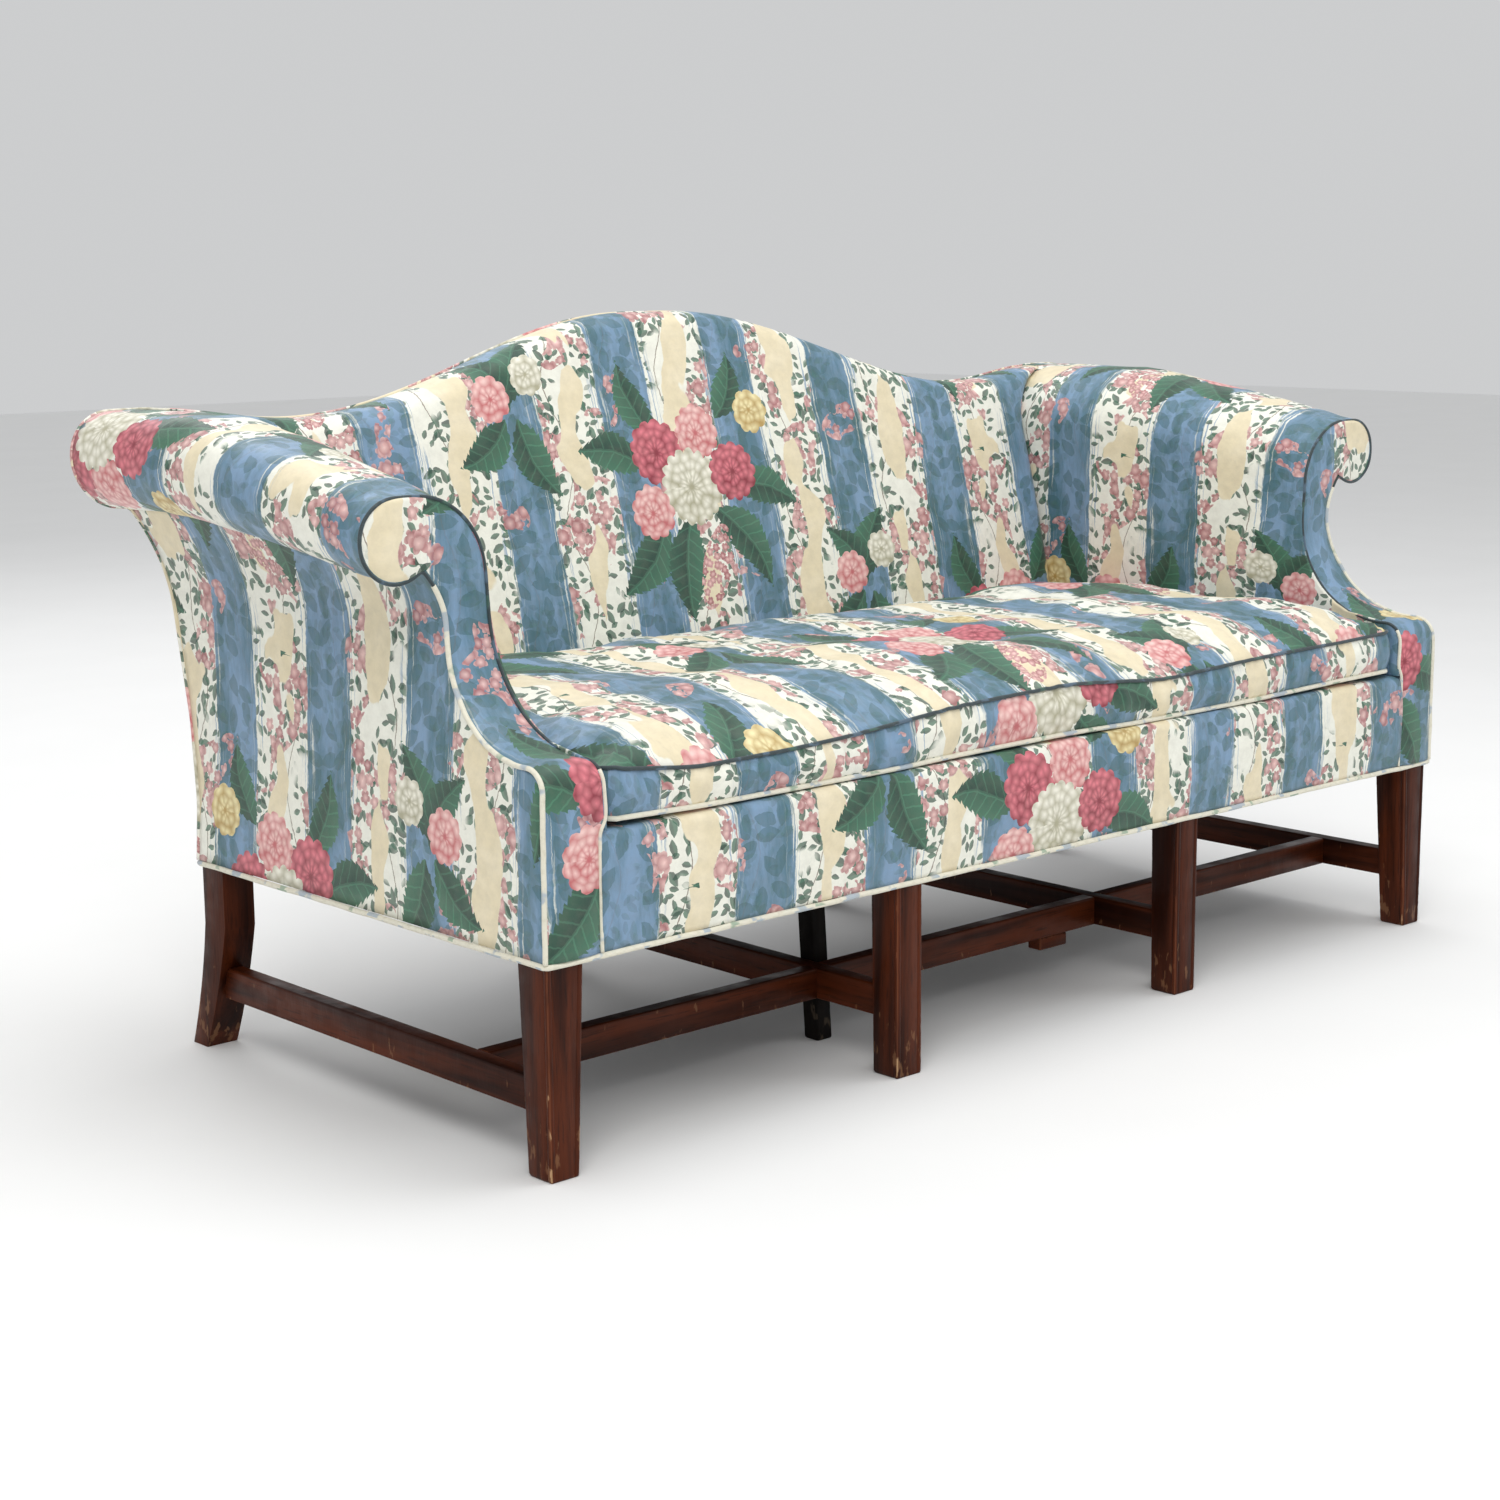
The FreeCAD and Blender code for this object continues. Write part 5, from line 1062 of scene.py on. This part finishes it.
cushion = {
    "front": (758.5, -2.0),  # half width and y of the welts' outer plan
    "rear": (744.5, 632.2),
    "corner": 26.0,
    "draw": 7.0,
    "bottom": 392.3,
    "weltLow": 399.3,
    "weltHigh": 453.3,
    "crown": 42.0,
    "seam": 5.0,
    "weltRadius": 3.4,
    "columns": 180,
    "rows": 68,
    "boxRows": 8,
    "pressure": 4.0,
    "frames": 20,
    "cap": 11.0,  # furthest that the simulation may move a point
}
# how far the front edge sags along its length, as the down filling lets it
frontSag = {
    "x": (-760, -620, -480, -360, -190, 30, 220, 480, 620, 760),
    "high": (0, 18, 21, 19, 7, 3, 20, 8, 4, 0),
    "low": (0, 5, 8, 9, 0, -2, 9, 4, 2, 0),
}


def sagAlong(x, which):
    knots = np.array(frontSag["x"], float)
    fine = np.interp(np.linspace(-760, 760, 400), knots, frontSag[which])
    fine = rounded(fine, 70)
    return np.interp(x, np.linspace(-760, 760, 400), fine)


# Plan of the cushion in four curves that meet at the middles of its rounded corners
def planCurves(inset):
    radius = cushion["corner"]
    (wf, yf), (wr, yr) = cushion["front"], cushion["rear"]
    wf, wr, yf, yr = wf - inset, wr - inset, yf + inset, yr - inset
    centres = [
        (-wf + radius, yf + radius),
        (wf - radius, yf + radius),
        (wr - radius, yr - radius),
        (-wr + radius, yr - radius),
    ]
    starts = [225, 315, 45, 135]
    counts = [cushion["columns"], cushion["rows"], cushion["columns"], cushion["rows"]]
    curves = []
    for k in range(4):
        leave = np.radians(np.linspace(starts[k], starts[k] + 45, 12))
        arrive = np.radians(np.linspace(starts[(k + 1) % 4] - 45, starts[(k + 1) % 4], 12))
        if k == 3:
            arrive = np.radians(np.linspace(180, 225, 12))
        one = np.array(centres[k]) + radius * np.stack([np.cos(leave), np.sin(leave)], 1)
        two = np.array(centres[(k + 1) % 4]) + radius * np.stack([np.cos(arrive), np.sin(arrive)], 1)
        t = np.linspace(0, 1, 200)[1:-1, None]
        straight = mixed(one[-1], two[0], t)
        inwards = np.array([(0, 1), (-1, 0), (0, -1), (1, 0)][k], float)
        straight = straight + inwards * cushion["draw"] * (1 - (2 * t - 1) ** 2)
        curve = np.concatenate([one, straight, two])
        run = runLength(curve[:, None], 0)[:, 0]
        at = np.linspace(0, run[-1], counts[k] + 1)
        curves.append(np.stack([np.interp(at, run, curve[:, j]) for j in (0, 1)], 1))
    return curves


# A plan filled from its four edges: the two pairs of edges blended, less the blend of the corners
def planGrid(inset):
    front, right, rear, left = planCurves(inset)
    rear, left = rear[::-1], left[::-1]
    u = np.linspace(0, 1, cushion["columns"] + 1)[None, :, None]
    v = np.linspace(0, 1, cushion["rows"] + 1)[:, None, None]
    corners = mixed(mixed(front[0], front[-1], u), mixed(rear[0], rear[-1], u), v)
    return mixed(front[None], rear[None], v) + mixed(left[:, None], right[:, None], u) - corners


def edgeLoop(grid):
    return np.concatenate([grid[0, :-1], grid[:-1, -1], grid[-1, :0:-1], grid[:0:-1, 0]])


# Level way out of a loop, across its own line
def outOf(loop):
    ahead = np.roll(loop, -1, 0) - np.roll(loop, 1, 0)
    outwards = np.stack([ahead[:, 1], -ahead[:, 0], 0 * ahead[:, 0]], 1)
    return outwards / np.linalg.norm(outwards, axis=1)[:, None]


# Heights of the top and the bottom over the plan. The top rises from its seam by one less an
# exponential of the distance inwards, with slow lumps, and with gathers near the seam
def cushionShape():
    plan = planGrid(cushion["seam"])
    x, y = plan[..., 0], plan[..., 1]
    sideWay = mixed(cushion["front"][0], cushion["rear"][0], np.clip(y / 632, 0, 1))
    sideWay = sideWay - cushion["seam"] - cushion["draw"]
    gaps = np.stack([sideWay - np.abs(x), y - cushion["seam"], cushion["rear"][1] - cushion["seam"] - y])
    away = np.maximum(0, -30 * np.log(np.exp(-gaps / 30).sum(0)) + 18)
    gone = np.maximum(0, gaps.min(0))
    away = mixed(gone, away, smooth(gone / 120))
    rise = cushion["crown"] * (1 - np.exp(-away / 46)) ** 0.85
    lumps = (4.6 * ripple(x, y, 300, 91) + 3.2 * ripple(x, y * 1.4, 125, 92)) * smooth(away / 90)
    gathers = 1.9 * ripple(x, y * 0.3, 38, 93) * np.exp(-gaps.min(0) / 45) * smooth(gaps.min(0) / 12)
    frontness = np.exp(-np.maximum(0, y) / 90)
    highZ = cushion["weltHigh"] + (7 - sagAlong(x, "high")) * frontness
    lowZ = np.maximum(cushion["weltLow"] - 2, cushion["weltLow"] + (3 - sagAlong(x, "low")) * frontness)
    top = highZ + rise + lumps + gathers
    flat = 1 - np.exp(-np.maximum(0, gaps.min(0)) / 7)
    bottom = mixed(lowZ, cushion["bottom"] + 0 * lowZ, flat)
    return plan, top, bottom


# Top, bottom, and a boxing between their edges that bulges and gathers
def makeCushion():
    plan, top, bottom = cushionShape()
    topPoints = placed(plan[..., 0], plan[..., 1], top)
    bottomPoints = placed(plan[..., 0], plan[..., 1], bottom)
    upper, lower = edgeLoop(topPoints), edgeLoop(bottomPoints)
    share = np.linspace(0, 1, cushion["boxRows"] + 1)[:, None, None]
    box = mixed(lower, upper, share)
    outwards = outOf(lower)
    along = runLength(np.concatenate([lower, lower[:1]])[:, None], 0)[:, 0]
    pucker = 1 + 0.4 * ripple(along[:-1] * 1000, 0 * along[:-1], 44, 95)
    gathers = 0.0016 * ripple(along[:-1] * 1000, 0 * along[:-1], 24, 96)[None, :, None]
    bulge = 0.0062 * np.sin(np.pi * share) * pucker[None, :, None]
    box = box + outwards[None] * (bulge + gathers * np.sin(np.pi * np.sqrt(share)))
    flatCloth = lambda points: np.stack([points[..., 0], points[..., 1] + 0.31], -1)
    # the boxing's cloth: along the edge, and on from the top's print over the front edge
    wide = np.stack(np.broadcast_arrays(along[None] - 0.76, share[:, :, 0] * 0.056 + 0.05), -1)
    piece = buildPiece(
        "seatCushion",
        [
            gridPart(topPoints, flatCloth(topPoints)),
            gridPart(bottomPoints, flatCloth(bottomPoints)),
            gridPart(box, wide, wrap=True),
        ],
    )
    shell = bmesh.new()
    shell.from_mesh(piece.data)
    bmesh.ops.recalc_face_normals(shell, faces=shell.faces)
    shell.to_mesh(piece.data)
    shell.free()
    return piece, upper, lower


# Cloth under pressure, held at its seams; no point moves further than the cap
def puff(piece, held, cap, pressure, frames):
    count = len(piece.data.vertices)
    before = np.zeros(count * 3)
    piece.data.vertices.foreach_get("co", before)
    before = before.reshape(-1, 3)
    pins = piece.vertex_groups.new(name="seams")
    pins.add(np.flatnonzero(held(before)).tolist(), 1.0, "REPLACE")
    cloth = piece.modifiers.new("puff", "CLOTH")
    rules = cloth.settings
    rules.quality, rules.mass = 5, 0.3
    rules.tension_stiffness = rules.compression_stiffness = 12
    rules.shear_stiffness, rules.bending_stiffness = 5, 0.4
    rules.use_pressure, rules.uniform_pressure_force = True, pressure
    rules.shrink_min = -0.02
    rules.vertex_group_mass = "seams"
    rules.effector_weights.gravity = 0
    cloth.collision_settings.use_collision = False
    cloth.point_cache.frame_start, cloth.point_cache.frame_end = 1, frames
    for step in range(1, frames + 1):
        bpy.context.scene.frame_set(step)
    evaluated = piece.evaluated_get(bpy.context.evaluated_depsgraph_get())
    after = np.zeros(count * 3)
    evaluated.data.vertices.foreach_get("co", after)
    piece.modifiers.remove(cloth)
    bpy.context.scene.frame_set(1)
    move = after.reshape(-1, 3) - before
    size = np.maximum(np.linalg.norm(move, axis=1), 1e-9)[:, None]
    limit = cap / 1000
    move = move / size * (limit * np.tanh(size / limit))
    return before, move


# Which points lie on a loop, told by their places in hundredths of a millimetre
def onLoop(points, loop):
    key = lambda a: np.round(a * 1e5).astype(np.int64) @ np.array([1, 10**6, 10**12])
    return np.isin(key(points), key(loop))


def finishCushion():
    piece, upper, lower = makeCushion()
    loops = np.concatenate([upper, lower])
    size = (cushion[key] for key in ("cap", "pressure", "frames"))
    before, move = puff(piece, lambda points: onLoop(points, loops), *size)
    floorZ = cushion["bottom"] / 1000
    low = before[:, 2] < floorZ + 0.004
    move[low, 2] = 0
    after = before + move
    after[:, 2] = np.maximum(after[:, 2], floorZ)
    piece.data.vertices.foreach_set("co", after.ravel())
    piece.data.update()
    stood = ("cushion_core", "cushion_boxing", "cushion_cover_bottom", "cushion_cover_top")
    finishPiece(piece, printed, "striped_chintz", *stood, body="seat_cushion")
    for name, loop, finish, thin in (
        ("cushionWeltUpper", upper, darkWelt, 0.9),
        ("cushionWeltLower", lower, paleWelt, 0.2),
    ):
        path = loop + outOf(loop) * 0.0016
        welt = buildPiece(name, [cordPart(path, (cushion["weltRadius"] - thin) / 1000, (0, 0, 1), 12, True)])
        finishPiece(welt, finish, "welt_cloth", "cushion_welts", body="seat_cushion")


finishCushion()
print("cushion made")


# Base welt: a cord round the foot of the covers, with rounded corners
def makeBaseWelt():
    wide, front, rear, radius = half + 4, -4.0, 722.0, 5.0
    corners = [(-wide, front, 180), (wide, front, 270), (wide, rear, 0), (-wide, rear, 90)]
    line = []
    for x, y, start in corners:
        angle = np.radians(start + np.linspace(0, 90, 7))
        centre = np.array([x - np.sign(x) * radius, y + (radius if y < 0 else -radius)])
        line.append(centre + radius * np.stack([np.cos(angle), np.sin(angle)], 1))
    line = np.concatenate(line + [line[0][:1]])
    plan = evenly(line, 6.0)[:-1]
    run = runLength(plan[:, None], 0)[:, 0]
    z = 250.6 + 0.5 * ripple(run, 0 * run, 90, 97)
    path = placed(plan[:, 0], plan[:, 1], z)
    welt = buildPiece("baseWelt", [cordPart(path, 0.0035, (0, 0, 1), 12, True)])
    finishPiece(welt, paleWelt, "welt_cloth", "base_welt")


makeBaseWelt()

# Front legs: a square section with a rounded bead at each front corner, drawn in towards the floor

leg = {"bead": 4.2, "quirk": 1.6, "high": 254.0, "post": 334.0, "dents": 0.25, "footRound": 2.5}


def pieceName(node):
    words = node.split("_")
    return words[0] + "".join(word.title() for word in words[1:])


# Section of a leg between x0 and x1 and from y 0 to deep: beads stand at the two front corners
def legSection(x0, x1, deep):
    bead, quirk = leg["bead"], leg["quirk"]
    turn = np.radians(np.linspace(-50, 140, 15))
    left = np.stack([x0 + bead - bead * np.cos(turn), bead - bead * np.sin(turn)], 1)
    right = np.stack([x0 + x1 - left[::-1, 0], left[::-1, 1]], 1)
    start = 2 * bead + quirk
    face = np.array([(x0 + start, 0.6), ((x0 + x1) / 2, 0.4), (x1 - start, 0.6)])
    sideY = np.array([start + 1, deep / 2, deep - 2, deep - 0.6, deep])
    eased = np.array([0, 0, 0, 0.6, 2])
    backRight = np.stack([x1 - eased, sideY], 1)
    backLeft = np.stack([x0 + eased, sideY], 1)[::-1]
    return np.concatenate([left, face, right, backRight, backLeft])


def makeFrontLeg(node, x0, x1, footX0, footX1, deep, footDeep, seed, post):
    heights = np.concatenate([[0.0, 0.8, 2.0, 4.0], np.linspace(8, leg["high"], 34)])
    rings = []
    for z in heights:
        share = z / leg["high"]
        drawn = leg["footRound"] * (1 - min(1, z / 4) ** 0.5)
        a, b = mixed(footX0, x0, share) + drawn, mixed(footX1, x1, share) - drawn
        section = legSection(a, b, mixed(footDeep, deep, share) - drawn)
        section[:, 1] = np.maximum(section[:, 1], drawn)
        rings.append(section)
    plan = np.stack(rings)
    z = np.broadcast_to(heights[:, None], plan.shape[:2])
    middle = plan.mean(1, keepdims=True)
    wear = leg["dents"] * ripple(plan[..., 0] + plan[..., 1] * 1.7, z, 21, seed) * (1.6 - z / leg["high"])
    way = plan - middle
    plan = plan - way / np.linalg.norm(way, axis=-1, keepdims=True) * np.abs(wear)[..., None]
    points = placed(plan[..., 0], plan[..., 1], z)
    ring = runLength(np.concatenate([points, points[:, :1]], 1), 1)
    cloth = np.stack([ring, np.broadcast_to(z[:, :1] / 1000, ring.shape)], -1)
    parts = [gridPart(points, cloth, wrap=True, ends=True)]
    if post:
        square = np.array([(post[0], 8), (post[1], 8), (post[1], deep), (post[0], deep)], float)
        tall = placed(square[None, :, 0], square[None, :, 1], np.array([[leg["high"] - 1.0], [leg["post"]]]))
        parts.append(gridPart(tall, np.zeros((2, 5, 2)), wrap=True, ends=True))
    made = buildPiece(pieceName(node), parts, sharp=38)
    # the bead faces that turn forward and outward at the two front corners are made pale: a painted highlight
    # down each corner, together with rubbed wear
    count = len(made.data.polygons)
    normals, centres = np.zeros(count * 3), np.zeros(count * 3)
    made.data.polygons.foreach_get("normal", normals)
    made.data.polygons.foreach_get("center", centres)
    normals, centres = normals.reshape(-1, 3), centres.reshape(-1, 3)
    towards = normals[:, 0] * np.sign(centres[:, 0] - (x0 + x1) / 2000)
    onBead = centres[:, 1] < (2 * leg["bead"] - sofa["middleY"]) / 1000
    corner = (towards > 0.45) & (normals[:, 1] < -0.45) & onBead
    made.data.materials.append(mahogany["z"])
    made.data.materials.append(rubbedAndHighlitEdge)
    made.data.polygons.foreach_set("material_index", corner.astype(np.int32))
    finishPiece(made, None, "mahogany_stain", node)


for side, name in ((-1, "left"), (1, "right")):
    outer, top, foot = side * half, side * (half - 53), side * (half - 42)
    post = sorted((side * (half - 8), top))
    span, footSpan = sorted((outer, top)), sorted((outer, foot))
    makeFrontLeg(f"front_leg_{name}", *span, *footSpan, 53, 42, 101 + side, post)
    middle = side * sofa["innerLeg"]
    span = (middle - 22.5, middle + 22.5)
    makeFrontLeg(f"front_leg_inner_{name}", *span, *span, 47, 43, 111 + side, (span[0], span[1]))
print("legs made")


# The other wood that shows: the node's own shape with its edges eased and rubbed
def easedWood(node, width, grain, plain=None, slot="mahogany_stain"):
    source = nodes[node]
    mesh = source.data.copy()
    shell = bmesh.new()
    shell.from_mesh(mesh)
    bmesh.ops.remove_doubles(shell, verts=shell.verts, dist=1e-5)
    bmesh.ops.dissolve_limit(shell, angle_limit=0.005, verts=shell.verts, edges=shell.edges)
    bmesh.ops.recalc_face_normals(shell, faces=shell.faces)
    shell.to_mesh(mesh)
    shell.free()
    mesh.shade_smooth()
    mesh.materials.clear()
    for finish in (plain or mahogany[grain], plain or rubbedAndHighlitEdge):
        mesh.materials.append(finish)
    piece = bpy.data.objects.new(pieceName(node), mesh)
    bpy.context.scene.collection.objects.link(piece)
    ease = piece.modifiers.new("ease", "BEVEL")
    ease.width, ease.segments, ease.limit_method = width / 1000, 3, "ANGLE"
    ease.angle_limit, ease.material, ease.harden_normals = np.radians(32), 1, True
    finishPiece(piece, None, slot, node)


for place in ("left", "inner_left", "inner_right", "right"):
    easedWood(f"rear_leg_{place}", 1.4, "z")
    easedWood(f"side_stretcher_{place}", 0.8, "y")
for place in ("left", "middle", "right"):
    easedWood(f"middle_stretcher_{place}", 0.8, "x")
easedWood("support_leg", 3.5, "z", roughWood, "dark_rough_wood")
easedWood("stretcher_block", 2.5, "x")


# Dust cover: thin cloth tacked under the rails, sagging a little, cut round the legs
def makeDustCover():
    x = np.linspace(-835, 835, 141)
    y = np.linspace(8, 711, 61)[:, None]
    z = 249.4 - 3.5 * np.sin(np.pi * (x + 835) / 1670) ** 0.5 * np.sin(np.pi * (y - 8) / 703) ** 0.5 + 0 * x
    midX, midY = (x[1:] + x[:-1]) / 2, (y[1:] + y[:-1]) / 2
    keep = np.ones((len(y) - 1, len(x) - 1), bool)
    for middle in (-sofa["endLeg"], -sofa["innerLeg"], sofa["innerLeg"], sofa["endLeg"]):
        near = np.abs(midX - middle) < 40
        keep &= ~(near & ((midY < 62) | (midY > 660)))
    keep &= ~((np.abs(midX + 258) < 22) & (np.abs(midY - 200) < 22))
    cloth = np.stack(np.broadcast_arrays(x / 1000, y / 1000), -1)
    cover = buildPiece("dustCover", [gridPart(placed(x, y, z), cloth, keep)], outward=(0, 0, -1))
    area = sum(p.area for p in cover.data.polygons)
    thicken(cover, 0.6)
    finishPiece(cover, cambric, "dust_cloth", "dust_cover")
    area = min(area, 1.67 * 0.703)


makeDustCover()

# Frame inside the covers keeps its shapes and gets its own finishes, found by words in its names
woodWords = ("rail", "cross", "corner_blocks", "camel", "back_uprights", "tack", "post", "board")
plainFinish = (
    (frameWood, woodWords),
    (backBurlap, ("back_burlap",)),
    (burlap, ("spring_burlap",)),
    (webbing, ("webbing",)),
    (springSteel, ("springs",)),
)
for name, node in nodes.items():
    if node.hide_render:
        continue
    for material, words in plainFinish:
        if any(word in name for word in words):
            for slot in node.material_slots:
                slot.material = material
            if not node.material_slots:
                node.data.materials.append(material)
            break
    else:
        print("no finish for", name)

# Floor, light and camera


def makeFloor():
    mesh = bpy.data.meshes.new("studioFloor")
    mesh.from_pydata([(-14, -14, 0), (14, -14, 0), (14, 14, 0), (-14, 14, 0)], [], [(0, 1, 2, 3)])
    floor = bpy.data.objects.new("studioFloor", mesh)
    bpy.context.scene.collection.objects.link(floor)
    r = Recipe("paleFloor")
    speck = r.noise(r.objectPlace(), 3.0, 3)
    mesh.materials.append(r.done(r.mix(speck, (0.86, 0.86, 0.855, 1), (0.9, 0.9, 0.895, 1)), 0.85))


lights = {  # place, height of the point lit on the middle line, size, watts, tint
    "keyLight": ((-3.2, -3.0, 4.2), 0.4, 2.6, 95, (1, 0.985, 0.96)),
    "fillLight": ((3.8, -3.4, 2.6), 0.5, 3.0, 22, (0.96, 0.98, 1)),
    "overheadLight": ((0.3, -0.6, 4.6), 0.4, 3.6, 90, (1, 1, 1)),
    "rearLight": ((0.5, 4.0, 3.6), 0.5, 3.0, 45, (1, 1, 1)),
}


def makeLight(name, place, aimHigh, size, power, tint):
    lamp = bpy.data.lights.new(name, "AREA")
    lamp.shape, lamp.size, lamp.energy, lamp.color = "DISK", size, power, tint
    made = bpy.data.objects.new(name, lamp)
    made.location = place
    towards = Vector((0, 0, aimHigh)) - Vector(place)
    made.rotation_euler = towards.to_track_quat("-Z", "Y").to_euler()
    bpy.context.scene.collection.objects.link(made)


camera = {
    "place": (-2.5719, -2.6343, 1.0167),
    "azimuth": -42.39,
    "elevation": 10.61,
    "roll": -0.490,
    "lens": 63.47,
}


def makeCamera():
    data = bpy.data.cameras.new("camera")
    data.lens, data.sensor_width = camera["lens"], 36
    made = bpy.data.objects.new("camera", data)
    az, el, roll = (np.radians(camera[key]) for key in ("azimuth", "elevation", "roll"))
    back = Vector((np.sin(az) * np.cos(el), -np.cos(az) * np.cos(el), np.sin(el)))
    right = (-back).cross(Vector((0, 0, 1))).normalized()
    up = right.cross(-back)
    turnedRight = np.cos(roll) * right + np.sin(roll) * up
    turnedUp = -np.sin(roll) * right + np.cos(roll) * up
    turned = Matrix((turnedRight, turnedUp, back)).transposed().to_4x4()
    made.matrix_world = Matrix.Translation(camera["place"]) @ turned
    bpy.context.scene.collection.objects.link(made)
    bpy.context.scene.camera = made


makeFloor()
for name, values in lights.items():
    makeLight(name, *values)
world = bpy.data.worlds.new("studio")
world.use_nodes = True
world.node_tree.nodes["Background"].inputs[0].default_value = (0.98, 0.99, 1, 1)
world.node_tree.nodes["Background"].inputs[1].default_value = 0.62
bpy.context.scene.world = world
bpy.context.scene.view_settings.view_transform = "Standard"
makeCamera()
print("studio made")
